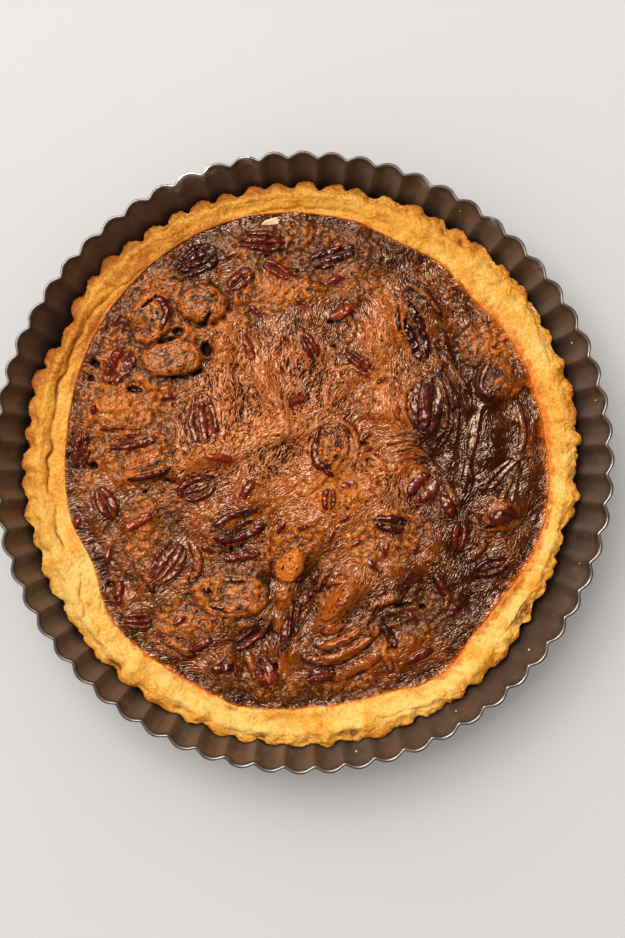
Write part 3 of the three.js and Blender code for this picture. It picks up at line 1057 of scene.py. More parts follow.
# The filling's low waves, as in the model: [radians per mm, heading, height in mm].
WAVES = [(0.12, 0.9, 0.55), (0.17, 2.4, 0.45), (0.1, 4.1, 0.6)]
# Broad swells and hollows of the skin, in mm: [x, y, half-length, half-width, turn, height].
SWELLS = [
    (-36, 56, 14, 7, 80, 1.8), (-27, 29, 11, 8, 70, -2.0), (-3, 14, 7, 6, 20, 2.2),
    (4, 36, 10, 7, 70, -2.6), (-9, 2, 9, 6, 70, -1.6), (14, 34, 11, 5, 80, 1.6),
    (38, 60, 14, 7, 80, 2.2), (42, 25, 14, 7, 100, 2.6), (-42, 3, 9, 4, 0, 1.6),
    (18, -64, 12, 5, 56, 3.6), (24, -70, 9, 3, 50, -1.6), (-9, -62, 4, 3.4, 0, 1.6),
    (20, -8, 10, 8, 0, -1.4), (40, -6, 12, 6, 60, 1.4), (90, -24, 9, 6, 60, 2.2),
    (16, -14, 24, 22, 0, 2.4), (-38, 3, 16, 6, 15, 2.0), (-16, 34, 16, 6, 120, 2.0),
    (72, 46, 14, 5, 120, -1.4), (88, 34, 10, 9, 0, 0.8), (-90, 24, 14, 8, 30, 1.2),
    (-76, 60, 10, 6, 60, -1.6), (-60, -30, 12, 8, 60, -1.0), (-56, -74, 10, 7, 20, 1.4),
    (-22, -80, 12, 4, 20, -1.8), (-14, -52, 10, 5, 70, -1.4), (2, -54, 10, 4, 60, -1.6),
    (40, -50, 12, 8, 30, 1.0), (46, -86, 12, 6, 20, 1.2), (64, 76, 16, 8, -40, -0.8),
    (0, -108, 40, 5, 0, -0.6), (76, -66, 14, 6, 40, -1.0), (-8, 78, 14, 7, 10, 1.2),
    (-50, -24, 12, 9, 20, 1.0), (-76, -6, 12, 4, 14, 1.2), (-24, -16, 12, 8, 30, 1.4),
    (60, -40, 10, 7, 70, 1.2),
]
# Drawn ridges of the skin, in mm: [half-width, height, points along the crest].
RIDGES = [
    (5.0, 3.0, [(-20, 46), (-17, 36), (-13, 26), (-12, 18), (-20, 12), (-30, 9), (-40, 5), (-50, -1),
        (-55, -8)]), (4.2, 2.2, [(-40, 60), (-36, 50), (-37, 40), (-34, 30), (-37, 18), (-36, 12)]),
    (2.4, 1.5, [(-58, 8), (-56, -2), (-58, -10)]), (2.2, 1.2, [(-84, -2), (-75, 1), (-62, 3)]),
    (2.0, 1.5, [(4, -83), (12, -84), (20, -80.5), (27, -75), (33, -69)]),
    (2.2, 1.6, [(-1, -90), (8, -91), (17, -89.5), (26, -84), (33, -77), (37, -70)]),
    (2.2, 1.2, [(2, -97), (14, -98), (26, -94), (35, -87), (40, -78)]),
    (1.4, 1.0, [(8, -78), (15, -77), (22, -73)]),
    (1.5, 1.8, [(2, -62), (7, -57), (10, -52), (13, -49)]),
    (1.5, 1.2, [(10, -57), (15, -54), (21, -53)]), (0.9, 1.2, [(-5, -63), (-5.5, -72), (-7, -86)]),
    (0.9, 1.0, [(-1.5, -64), (-3, -72), (-3, -80)]), (2.0, 1.6, [(30, -68), (37, -63.5), (47, -61)]),
    (1.2, 0.9, [(36, -70), (44, -68), (49, -69)]), (1.4, 0.8, [(35, -84), (39, -91), (41, -97)]),
    (2.4, 1.2, [(-11, -69), (-11.5, -79)]), (1.6, 1.2, [(64, 62), (67, 50), (71, 41), (78, 32)]),
    (1.1, 1.0, [(83, 28), (81, 20), (79, 11), (77, 2), (75, -8), (74, -15)]),
    (0.8, 1.0, [(80, 24), (77.5, 12), (76, 2), (77.5, -6), (77, -14)]),
    (0.8, 0.8, [(74, 10), (74, 0), (72, -10)]), (1.0, 0.8, [(70, 34), (71, 22), (70, 8)]),
    (1.4, 1.1, [(98, 32), (100.5, 22), (101.5, 13), (100, 4), (95, -6), (89, -15)]),
    (0.9, 1.1, [(99, 2), (92, -6), (86, -13)]), (1.0, 1.2, [(99, 0), (95, -10), (91, -19)]),
    (0.8, 0.8, [(96, 1), (90, -4), (84, -10)]), (0.8, 0.9, [(100, -1), (98, -10), (96, -19)]),
    (1.1, 1.4, [(60, 42), (64, 35), (66, 25), (65, 15), (61, 10)]),
    (0.8, 0.9, [(63, 44), (67.5, 35), (69, 24), (67.5, 14), (63, 7)]),
    (1.1, 1.3, [(50, 38), (46.5, 30), (47, 21), (52, 13)]),
    (0.8, 0.8, [(46, 38), (43, 30), (43, 21), (48, 12)]),
    (1.0, 0.9, [(38, 8), (48, 11), (56, 8), (61, 3)]),
    (1.0, 1.0, [(38, 4), (48, 7), (56, 4), (61, -2)]), (0.9, 0.8, [(40, 0), (50, 3), (58, -1)]),
    (0.8, 0.8, [(40, 12), (50, 14.5), (58, 10)]), (1.2, 1.0, [(24, 2), (30, -2), (33, -8), (31, -14)]),
    (1.2, 1.0, [(29, 4), (36, 0), (38, -8), (36, -15)]), (1.4, 1.2, [(85, -36), (80, -42), (75, -46)]),
    (1.6, 1.2, [(66, -8), (68, -14), (72, -20)]), (1.2, 1.2, [(16, 20), (22, 16), (25, 8), (23, -2)]),
    (1.0, 0.9, [(18, 16), (20, 8), (17, 0)]), (1.6, 1.4, [(27, 70), (31, 60), (30, 50), (33, 42)]),
    (1.5, 1.2, [(20, 70), (23, 62), (20, 54)]), (1.4, 1.2, [(-6, 60), (-5, 52), (-8, 46)]),
    (1.8, 1.3, [(10, 46), (11, 38), (9, 30), (12, 24)]), (1.6, 1.3, [(-94, 16), (-84, 18), (-74, 16)]),
    (1.8, 1.4, [(-58, 22), (-56, 12), (-60, 4)]), (1.6, 1.2, [(-78, -46), (-72, -52), (-68, -60)]),
    (1.6, 1.2, [(-52, -36), (-48, -46), (-52, -56)]), (1.8, 1.3, [(-66, -80), (-58, -84), (-50, -90)]),
    (1.5, 1.2, [(-28, -84), (-24, -92), (-22, -100)]), (1.5, 1.1, [(-52, 84), (-42, 80), (-36, 72)]),
    (1.5, 1.2, [(-8, 86), (2, 82), (12, 80)]), (1.4, 1.1, [(46, 84), (56, 78), (64, 68)]),
    (1.5, 1.3, [(60, -52), (66, -60), (64, -70)]),
]
# Where the top is foam and not skin, in mm: [x, y, half-length, half-width, turn, share].
FOAMS = [
    (0, 100, 52, 12, 0, 0.9), (-20, 78, 30, 12, 10, 0.8), (-62, 58, 34, 24, 50, 0.8),
    (-78, 12, 26, 22, 80, 0.75), (-84, 54, 36, 16, 56, 1.0), (-62, 84, 20, 10, 40, 0.9),
    (-98, 8, 30, 8, 84, 0.7), (-70, -28, 30, 16, 60, 0.55), (-8, -40, 24, 10, 20, 0.8),
    (-34, -60, 20, 13, -5, 1.0), (-48, -72, 30, 14, 20, 0.5), (14, 4, 11, 9, 70, 0.9),
    (16, -14, 16, 10, 0, 0.8), (84, 52, 13, 10, 10, 0.95), (94, 36, 8, 8, 0, 0.6),
    (40, -34, 22, 12, 20, 0.7), (58, -70, 18, 12, 30, 0.75), (50, 62, 8, 14, 10, 0.8),
    (36, -82, 7, 9, 30, 0.9), (12, -60, 10, 5, 50, 0.4), (28, 40, 14, 8, 0, 0.5),
    (-34, 30, 10, 7, 30, 0.45), (0, -104, 60, 7, 0, 0.7), (20, 84, 26, 8, 0, 0.5),
]
# Where the skin is smooth, with few wrinkles, in mm as above.
CALM = [
    (84, 8, 26, 17, 80, 1.0), (14, -84, 24, 12, 20, 0.3), (8, -58, 14, 8, 50, 0.2),
    (40, -92, 20, 8, 20, 0.6), (64, -44, 14, 8, 60, 0.5),
]
# Where the skin is most wrinkled and its crests carry the most painted sheen, in mm as above.
WRINKLED_AND_SHEEN = [
    (-20, 25, 44, 34, 30, 1.0), (40, 42, 26, 20, 90, 0.55), (26, -10, 30, 20, 0, 0.6),
    (-66, 0, 20, 12, 10, 0.6), (24, -66, 20, 10, 60, 0.6), (-60, -76, 24, 10, 20, 0.3),
]
# Where the baked top is darker and paler, in mm as above.
DARK_PLACES = [
    (80, 0, 44, 26, 90, 1.0), (62, -56, 40, 26, 30, 0.7), (10, 100, 60, 14, 0, 0.5),
]
PALE_PLACES = [
    (-18, 28, 34, 26, 50, 1.0), (36, 60, 12, 20, 0, 0.8), (92, 64, 14, 24, 40, 1.0),
    (-78, 62, 36, 18, 52, 0.4), (-84, 10, 16, 26, 0, 0.5),
]
# Which way the skin's wrinkles run, in mm and degrees: [x, y, reach, heading].
FLOWS = [
    (-28, 42, 16, 92), (-14, 12, 18, 52), (-36, 14, 10, 88), (18, 30, 16, 55), (40, 62, 16, 96),
    (38, 30, 10, 100), (44, 8, 14, 20), (68, 8, 14, 12), (72, 30, 16, 92), (92, 20, 16, 96),
    (96, -10, 14, 52), (60, -24, 14, 70), (20, -30, 20, 40), (4, -66, 16, 52), (28, -84, 16, 20),
    (-10, -84, 12, 78), (50, -50, 16, 60), (76, -66, 20, 48), (60, -92, 16, 30), (-46, 62, 18, 60),
    (-84, 26, 16, 60), (-80, -10, 16, 20), (-66, -40, 16, 36), (-46, -76, 18, 12), (-20, -102, 20, -20),
    (0, 96, 24, 10), (-50, -24, 14, 30), (66, 86, 20, -50), (0, 60, 14, 90), (-6, -20, 14, 30),
]
# Where the wrinkles run round a middle instead, in mm: [x, y, reach].
EDDIES = [
    (56, 26, 13), (54, -13, 10), (10, 8, 12), (86, 46, 12), (-46, 20, 10), (-28, -30, 14),
    (90, -24, 9),
]
# Holes right through the skin, in mm: [x, y, length, width, turn, depth].
HOLES = [
    (-77.4, 33.7, 6.4, 3.0, -6, 4), (-44.4, 52.4, 4.6, 6.0, 20, 5), (-48.8, 41.8, 5.4, 2.0, 32, 4),
    (12.8, 64.8, 2.8, 1.7, 0, 3), (-96.8, -1.3, 3.4, 4.2, 80, 3.5), (28.2, 8.9, 3.8, 1.7, -4, 3),
    (46.8, -65.4, 9.4, 1.4, 6, 3), (55.6, -66.5, 3.0, 2.6, 0, 3), (86.4, -29.6, 4.6, 1.6, 14, 3),
    (-96, 46, 3.4, 4.4, 60, 3), (-98, 39, 2.6, 3.4, 70, 3), (-88, 36.5, 2.0, 3.8, 80, 2.5),
    (-57.6, 60.5, 3.6, 5.4, 84, 3.5), (-44, 66, 8.0, 1.8, 58, 3), (-62, 56.5, 9.0, 1.8, 18, 3.5),
    (-58.6, 39.6, 10.0, 1.4, 2, 3), (-89, -56, 2.4, 3.4, 80, 3), (-86, -62.5, 2.6, 2.0, 0, 3),
    (-70.8, 74, 9, 1.3, 36, 2.5), (-12.4, -94, 1.8, 3.8, 4, 3), (-16, 95.4, 3.4, 1.2, 0, 2.5),
    (-72.6, -13.2, 2.4, 1.5, 20, 2.5), (-62.5, -8, 2.6, 2, 0, 2), (53, 68, 1.6, 2.8, 10, 2),
    (-32.6, -40, 2.6, 3.0, 40, 1.5), (-28, -38.4, 2.0, 1.8, 0, 1.5), (-38, -42, 1.8, 1.6, 0, 1.5),
    (81.6, -53.4, 2.4, 1.0, 8, 2), (-2.6, 88, 1.6, 1.6, 0, 2), (14.6, 53.6, 2, 1.6, 30, 2),
]
# Chips of pecan too small for a piece of their own, in mm: [x, y, length, width, turn, tint].
CHIPS = [
    (14, 84, 8, 3.4, 20, 0.6), (-1, 74, 7, 3, -30, 0.5), (28, 41, 9, 2.6, -24, 0.7),
    (36, 38, 6, 2.4, 40, 0.5), (12, -5, 6, 3, -30, 0.3), (21, -10, 8, 4, 10, 0.6),
    (-104, -27, 6, 3, 60, 0.7), (-90, -43, 7, 2.6, 80, 0.7), (-57, -73, 8, 3, 30, 0.5),
    (-65, -79, 6, 3, 0, 0.5), (19, -26, 6, 2.6, 30, 0.4), (13, -34, 7, 3, 70, 0.5),
    (32, -47, 7, 3, -60, 0.4), (38, -40, 8, 3, 75, 0.5), (25, -37, 6, 2.6, 20, 0.5),
    (52, -39, 7, 2.4, 80, 0.4), (52, -59, 6, 3, 50, 0.4), (50, -70, 8, 3, -60, 0.4),
    (-33, 96, 7, 3, 30, 0.3), (-22, 70, 8, 3, -40, 0.5), (29, 12, 6, 2.4, 40, 0.6),
    (30, 6, 5, 2.4, 10, 0.6), (-86, 66, 6, 3, 60, 0.5), (-60, -8, 7, 2.6, 20, 0.4),
    (-10, -30, 7, 3, 60, 0.4), (0, -30, 6, 2.6, 10, 0.5), (-44, -40, 6, 2.6, -30, 0.4),
    (70, -68, 7, 3, 40, 0.3), (36, -60, 6, 2.6, 30, 0.4), (64, 44, 5, 2.4, 60, 0.3),
    (-62, 30, 8, 3, 4, 0.5), (-96, 24, 6, 3, 70, 0.4),
]

# Bare ridges of a piece: straight ones as [across, half-width, from, to, height], in shares of
# its half-width and half-length, and rim ones as [share of the radius, half-width, from, to in
# degrees, height].
LAYOUTS = {
    "pair": {"straight": [(0.5, 0.4, -0.95, 0.93, 1.0), (-0.48, 0.38, -0.9, 0.95, 0.95)]},
    "triple": {"straight": [
        (0.68, 0.28, -0.9, 0.85, 0.85), (0.03, 0.32, -0.95, 0.96, 1.0),
        (-0.66, 0.27, -0.85, 0.9, 0.85),
    ]},
    "kernel": {"straight": [
        (0.76, 0.23, -0.85, 0.8, 0.75), (0.27, 0.26, -0.95, 0.93, 1.0),
        (-0.27, 0.25, -0.92, 0.96, 0.95), (-0.75, 0.22, -0.8, 0.85, 0.8),
    ]},
    "long_short": {"straight": [
        (0.5, 0.34, -0.95, 0.95, 1.0), (-0.3, 0.34, -0.5, 0.95, 0.9),
        (-0.78, 0.2, -0.9, 0.1, 0.7),
    ]},
    "edge": {"straight": [(-0.5, 0.38, -0.95, 0.95, 1.0), (0.36, 0.24, -0.6, 0.3, 0.65)]},
    "mouth": {"straight": [(0.46, 0.44, -0.95, 0.95, 1.0), (-0.46, 0.42, -0.92, 0.95, 0.95)]},
    "loop": {
        "straight": [(-0.05, 0.2, -0.6, 0.6, 0.8)],
        "rim": [(0.76, 0.26, 10, 205, 1.0), (0.78, 0.22, 210, 350, 0.85)],
    },
    "ring": {
        "straight": [(0.1, 0.18, 0.0, 0.6, 0.75)],
        "rim": [(0.78, 0.25, -172, -8, 1.0), (0.76, 0.25, 14, 168, 0.9)],
    },
    "hook": {
        "straight": [(-0.5, 0.18, -0.5, -0.1, 0.6)],
        "rim": [(0.82, 0.22, 40, 225, 1.0)],
    },
    "corner": {
        "straight": [(-0.2, 0.22, -0.2, 0.3, 0.7)],
        "rim": [(0.8, 0.26, -120, 20, 1.0)],
    },
    "chips": {"straight": [
        (0.35, 0.16, -0.5, -0.15, 0.7), (-0.45, 0.14, 0.1, 0.5, 0.6), (0.5, 0.12, 0.3, 0.6, 0.6),
    ]},
    "spots": {"rim": [
        (0.75, 0.16, 60, 110, 0.8), (0.72, 0.17, 150, 185, 0.8), (0.74, 0.17, 225, 262, 0.8),
        (0.6, 0.14, 290, 312, 0.7),
    ]},
    "blade": {"straight": [(0.0, 0.9, -1.0, 1.0, 1.0)]},
    "leaf": {"straight": [(-0.1, 0.9, -1.0, 1.0, 1.0)]},
    "knob": {"straight": [(0.05, 0.7, -0.85, 0.8, 1.0)]},
}


def pecan_look(
    layout, tint, bare=1.0, rise=2.0, swell=0.6, steep=0.3, gap=0.0, gap_towards=-60, wave=0.8,
    tone=0.0,
):
    """One piece: its ridges and their tint (0 plum, 0.5 mahogany, 1 rust), how bare they are and
    how high over the film in mm, how far and how steeply the film swells over the piece, the gap
    beside it with its direction, how wavy the ridges are and how pale the film is."""
    return {
        "layout": LAYOUTS[layout], "tint": tint, "bare": bare, "rise": rise, "swell": swell,
        "steep": steep, "gap": gap, "gap_towards": gap_towards, "wave": wave, "tone": tone,
    }


PECAN_LOOKS = dict(zip(PECAN_NAMES, [
    pecan_look("kernel", 0.05, rise=1.6, swell=0.9, gap=1.0, gap_towards=-150, wave=1.6, tone=-0.3),
    pecan_look("triple", 0.4, gap=0.3), pecan_look("pair", 0.45, swell=0.9),
    pecan_look("pair", 0.55, swell=0.9),
    pecan_look("long_short", 0.05, rise=1.6, gap=0.5, gap_towards=-90),
    pecan_look("long_short", 0.0, rise=1.9, swell=0.8, gap=0.4, gap_towards=180, wave=1.3),
    pecan_look("blade", 0.7), pecan_look("pair", 0.35), pecan_look("pair", 0.5),
    pecan_look("corner", 0.2, rise=1.2, swell=4.0, steep=0.8, gap=1.3, gap_towards=-30, wave=1.3,
        tone=0.2),
    pecan_look("chips", 0.25, rise=0.8, swell=4.4, steep=0.9, gap=1.5, gap_towards=-60, tone=0.1),
    pecan_look("chips", 0.3, rise=0.8, swell=3.8, steep=0.9, gap=1.3, gap_towards=-90, tone=0.0),
    pecan_look("pair", 0.5, rise=1.6, swell=0.5), pecan_look("blade", 0.7), pecan_look("knob", 0.5),
    pecan_look("triple", 0.2, rise=1.3, swell=1.8, steep=0.2, tone=-0.2),
    pecan_look("hook", 0.15, rise=1.0, swell=1.6, steep=0.5, gap=1.2, gap_towards=160, tone=-0.1),
    pecan_look("triple", 0.45, rise=1.8, swell=1.0, steep=0.4, gap=0.4, wave=1.1),
    pecan_look("long_short", 0.4, gap=0.8, gap_towards=170, wave=1.6),
    pecan_look("edge", 0.35, swell=1.2), pecan_look("edge", 0.2, swell=0.9, gap=0.6, gap_towards=-90),
    pecan_look("pair", 0.5, gap=0.5), pecan_look("blade", 0.85), pecan_look("loop", 0.35, swell=0.9),
    pecan_look("hook", 0.3, rise=1.4, swell=1.5, gap=0.5, gap_towards=170, tone=0.1),
    pecan_look("pair", 0.5), pecan_look("pair", 0.3, rise=1.2, swell=2.0, steep=0.3, gap=0.5, tone=0.1),
    pecan_look("knob", 0.4),
    pecan_look("ring", 0.2, rise=1.5, swell=1.0, steep=0.4, wave=1.6, tone=0.1),
    pecan_look("blade", 0.4, wave=1.8),
    pecan_look("spots", 0.15, rise=1.0, swell=2.3, steep=0.8, gap=0.9, gap_towards=-70, tone=0.1),
    pecan_look("chips", 0.1, rise=0.8, swell=2.2, steep=0.9, gap=0.7, gap_towards=-40, tone=0.5),
    pecan_look("blade", 0.7), pecan_look("kernel", 0.45, rise=1.5, gap=0.5), pecan_look("blade", 0.6),
    pecan_look("triple", 0.5, gap=0.3), pecan_look("edge", 0.45, swell=0.9, gap=0.9, gap_towards=-70),
    pecan_look("knob", 0.5, swell=0.8), pecan_look("knob", 0.2), pecan_look("pair", 0.45, rise=1.5),
    pecan_look("mouth", 0.15, gap=0.2), pecan_look("pair", 0.4, gap=0.4), pecan_look("blade", 0.35),
    pecan_look("knob", 0.2, rise=0.9, swell=2.0, gap=1.0, gap_towards=-110, tone=0.1),
    pecan_look("loop", 0.0, rise=1.5, gap=0.5, gap_towards=-100), pecan_look("knob", 0.3),
    pecan_look("blade", 0.15, bare=0.7),
    pecan_look("leaf", 0.5, bare=0.5, rise=2.2, swell=1.2, tone=0.2), pecan_look("blade", 0.2),
    pecan_look("mouth", 0.55, bare=0.5, rise=1.8, swell=1.0, tone=0.1), pecan_look("blade", 0.35),
    pecan_look("blade", 0.15), pecan_look("knob", 0.3),
]))


@functools.lru_cache(maxsize=None)
def pecan_place(name):
    """A piece's middle, length, width and turn, taken from its solid."""
    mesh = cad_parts[name].data
    solid = np.empty(3 * len(mesh.vertices))
    mesh.vertices.foreach_get("co", solid)
    flat = solid.reshape(-1, 3)[:, :2]
    first, last = max(
        itertools.combinations(flat, 2), key=lambda pair: np.sum((pair[0] - pair[1]) ** 2)
    )
    way = last - first
    middle = (first + last) / 2
    degrees = math.degrees(math.atan2(way[1], way[0]))
    across = turned(flat[:, 0], flat[:, 1], middle[0], middle[1], degrees)[1]
    return {
        "x": middle[0], "y": middle[1], "length": float(np.hypot(*way)),
        "width": across.max() - across.min(), "turn": (degrees + 90) % 180 - 90,
    }


def filling_height(settings, x, y, crust):
    """The baked top as in the model: domed, with low waves that fade at the pastry."""
    share = np.minimum(1, np.hypot(x, y) / crust.inner_radius)
    waves = np.zeros_like(x)
    for per_mm, heading, height in WAVES:
        way = x * math.cos(heading) + y * math.sin(heading)
        waves += height * MM * np.sin(per_mm / MM * way)
    level = settings.edge_height + settings.dome * (1 - share ** 3)
    return level + waves * (1 - share ** 4)


def patches(x, y, listed):
    """The most of several eased oval patches at each point, with the patch's own share."""
    most = np.zeros_like(x)
    for px, py, long, wide, lean, share in listed:
        reach = oval(x, y, px, py, long, wide, lean)
        most = np.maximum(most, share * (1 - between(reach, 0.6, 1.25)))
    return most


def skin_run(flat, x, y):
    """The heading of the skin's wrinkles at each point, as the cosine and sine of its double."""
    run = np.zeros((len(x), 3))
    for fx, fy, reach, heading in FLOWS:
        near = bell(np.hypot(x - fx * MM, y - fy * MM), reach * MM) + 1e-5
        double = math.radians(2 * heading)
        run += near[:, None] * (math.cos(double), math.sin(double), 0)
    for fx, fy, reach in EDDIES:
        near = 1.6 * bell(np.hypot(x - fx * MM, y - fy * MM), reach * MM)
        double = 2 * np.arctan2(y - fy * MM, x - fx * MM)
        run -= near[:, None] * np.stack([np.cos(double), np.sin(double), 0 * x], 1)
    double = np.arctan2(run[:, 1], run[:, 0]) + 2.2 * noise(flat, 8 * MM, 151)
    strong = 0.7 + 0.45 * patches(x, y, WRINKLED_AND_SHEEN) - 0.35 * patches(x, y, CALM)
    strong += 0.5 * noise(flat, 11 * MM, 154)
    return np.stack([np.cos(double), np.sin(double), 0 * x], 1) * strong[:, None]


def drawn_noise(flat, run, size, seed, stretch):
    """Noise drawn out along the skin's run, mixed from four fixed headings."""
    total = np.zeros(len(flat))
    for heading, share in ((0, run[:, 0]), (90, -run[:, 0]), (45, run[:, 1]), (135, -run[:, 1])):
        near = share > 0
        along, across = turned(flat[near, 0], flat[near, 1], 0, 0, heading)
        lines = noise(np.stack([along / stretch, across, 0 * along], 1), size, seed + heading)
        total[near] += share[near] * lines
    return total


def ridge_lines(x, y):
    """The smooth drawn ridges, in metres up."""
    up = np.zeros_like(x)
    for half_width, high, line in RIDGES:
        line = np.array(line) * MM
        weights, _ = curve_weights(len(line), [5] * (len(line) - 1))
        crest = weights @ line
        reach = 1.7 * half_width * MM
        near = np.ones_like(x, bool)
        for values, side in ((x, crest[:, 0]), (y, crest[:, 1])):
            near &= (values > side.min() - reach) & (values < side.max() + reach)
        if not near.any():
            continue
        start, span = crest[:-1], np.diff(crest, axis=0)
        offset = np.stack([x[near], y[near]], 1)[:, None] - start
        along = np.clip((offset * span).sum(2) / (span ** 2).sum(1), 0, 1)
        away = np.linalg.norm(offset - along[..., None] * span, axis=2)
        closest = away.argmin(1)
        rows = np.arange(len(closest))
        share = (closest + along[rows, closest]) / len(span)
        fade = np.clip(1 - np.abs(2 * share - 1) ** 3, 0, 1)
        shape = np.clip(1 - (away[rows, closest] / (reach * (0.4 + 0.6 * fade))) ** 2, 0, 1) ** 1.4
        up[near] = np.maximum(up[near], high * MM * fade * shape)
    return up


def over_pecans(flat, x, y):
    """The film over the pieces: its swell in metres, the gaps beside them, its tone with painted shade
    round the steep lumps, how far inside a piece each point lies and how steep a lump it is on."""
    swell, gap, tone, lump = (np.zeros_like(x) for _ in range(4))
    inside = np.full_like(x, 9.0)
    for name in PECAN_NAMES:
        place, look = pecan_place(name), PECAN_LOOKS[name]
        near = np.hypot(x - place["x"], y - place["y"]) < 0.5 * place["length"] + 12 * MM
        if not near.any():
            continue
        along, across = turned(x[near], y[near], place["x"], place["y"], place["turn"])
        half_long, half_wide = 0.5 * place["length"], 0.5 * place["width"]
        ragged = 0.1 * noise(flat[near], 4 * MM, 161)
        spread = 1 + 0.16 * look["steep"]
        reach = np.hypot(along / half_long, across / half_wide) / spread + ragged
        out = (reach - 1) * half_wide * spread
        soft = np.exp(-np.maximum(0, reach) ** 3 * 0.7)
        crisp = np.sqrt(np.clip(1 - np.clip(reach / 1.05, 0, 1) ** 4, 0, 1))
        body = look["swell"] * MM * (soft + (crisp - soft) * look["steep"])
        swell[near] = np.maximum(swell[near], body)
        towards = np.arctan2(across, along) + math.radians(place["turn"])
        side = between(np.cos(towards - math.radians(look["gap_towards"])), -0.1, 0.8)
        wide = (0.6 + 0.35 * look["gap"]) * MM
        crack = side * bell(out - 0.6 * wide, wide) * (0.8 + 1.1 * noise(flat[near], 3.5 * MM, 162))
        gap[near] = np.maximum(gap[near], look["gap"] * np.clip(crack, 0, 1))
        tone[near] += look["tone"] * (1 - between(reach, 0.9, 1.3))
        # Painted shade round the foot of a steep lump.
        tone[near] -= 0.4 * look["steep"] * bell(reach - 1.12, 0.12)
        lump[near] = np.maximum(lump[near], look["steep"] * (1 - between(reach, 0.8, 1.1)))
        inside[near] = np.minimum(inside[near], reach)
    return swell, gap, tone, inside, lump


def chips(flat, x, y):
    """Ridges of the small chips: height share and tint."""
    most, tint = np.zeros_like(x), np.zeros_like(x)
    for cx, cy, long, wide, lean, shade in CHIPS:
        near = np.hypot(x - cx * MM, y - cy * MM) < long * MM
        if not near.any():
            continue
        along, across = turned(x[near], y[near], cx * MM, cy * MM, lean)
        across = across + 0.5 * MM * noise(flat[near], 3 * MM, 171)
        reach = np.hypot(along / (0.5 * long * MM), across / (0.5 * wide * MM))
        body = np.sqrt(np.clip(1 - reach ** 2, 0, 1))
        tint[near] = np.where(body > most[near], shade, tint[near])
        most[near] = np.maximum(most[near], body)
    return most, tint


def holes(flat, x, y):
    """Ragged holes through the skin: depth, and the painted shade inside them."""
    depth, dark = np.zeros_like(x), np.zeros_like(x)
    ragged = 0.25 * noise(flat, 1.6 * MM, 131) + 0.2 * noise(flat, 3.4 * MM, 132)
    for hx, hy, long, wide, lean, deep in HOLES:
        near = np.hypot(x - hx * MM, y - hy * MM) < (long + wide) * MM
        if not near.any():
            continue
        reach = oval(x[near], y[near], hx, hy, 0.5 * long, 0.5 * wide, lean) + ragged[near]
        inside = 1 - between(reach, 0.75, 1.15)
        depth[near] = np.maximum(depth[near], deep * MM * inside)
        dark[near] = np.maximum(dark[near], inside)
    return depth, dark


def broad_form(x, y):
    """The broad swells and hollows of the skin, in mm up."""
    form = np.zeros_like(x)
    for sx, sy, long, wide, lean, high in SWELLS:
        form += 1.8 * high * np.exp(-oval(x, y, sx, sy, long, wide, lean) ** 2)
    return form


def drawn_skin(flat, x, y, run, foam):
    """Soft folds and sharp drapes of the skin along its run."""
    folds = drawn_noise(flat, run, 3.6 * MM, 81, 3.0) * (1 - 0.8 * foam)
    drapes = np.exp(-np.abs(drawn_noise(flat, run, 9 * MM, 501, 2.4)) / 0.09)
    drapes *= between(noise(flat, 22 * MM, 502), -0.1, 0.3) * (1 - 0.5 * foam)
    return folds, drapes * (1 - patches(x, y, CALM))


def crisp_foam(flat, crisp, lump):
    """The foam's crumb in mm up and the seams that run between its lumps."""
    crumb = 1.7 * np.abs(noise(flat, 4.6 * MM, 91)) + 0.8 * noise(flat, 2.6 * MM, 92)
    crumb += 0.4 * noise(flat, 1.5 * MM, 93)
    away = np.abs(noise(flat, 8 * MM, 94) + 0.5 * noise(flat, 3.5 * MM, 95))
    seams = np.exp(-away / 0.035) * between(noise(flat, 13 * MM, 96), -0.1, 0.25)
    return crumb, seams * crisp * (1 - 0.8 * lump)


def beside_pastry(flat, degrees, inward):
    """At the pastry: the top's rise, the painted shade under the pressed roll and the syrup's seam."""
    rise = 0.3 * MM * np.exp(-inward / (1.6 * MM))
    rise -= 0.4 * MM * bell(inward - 4 * MM, 3 * MM) * (1 - facing(degrees, 135, 60))
    ragged = noise(flat, 3 * MM, 101) + 0.7 * noise(flat, 7 * MM, 102)
    away = np.maximum(0, inward)
    roll = 1.1 * MM * np.clip(1 + 1.5 * ragged, 0.3, 3)
    under_roll = facing(degrees, 125, 50) * np.exp(-away / roll)
    reach = 0.05 + 1.4 * facing(degrees, 15, 45) + 1.2 * facing(degrees, -45, 45)
    reach = (reach + 0.7 * facing(degrees, 235, 35)) * MM
    seam = np.exp(-away / (reach * np.clip(1 + 1.6 * ragged, 0.15, 4)))
    return rise - 1.2 * MM * under_roll, under_roll, seam


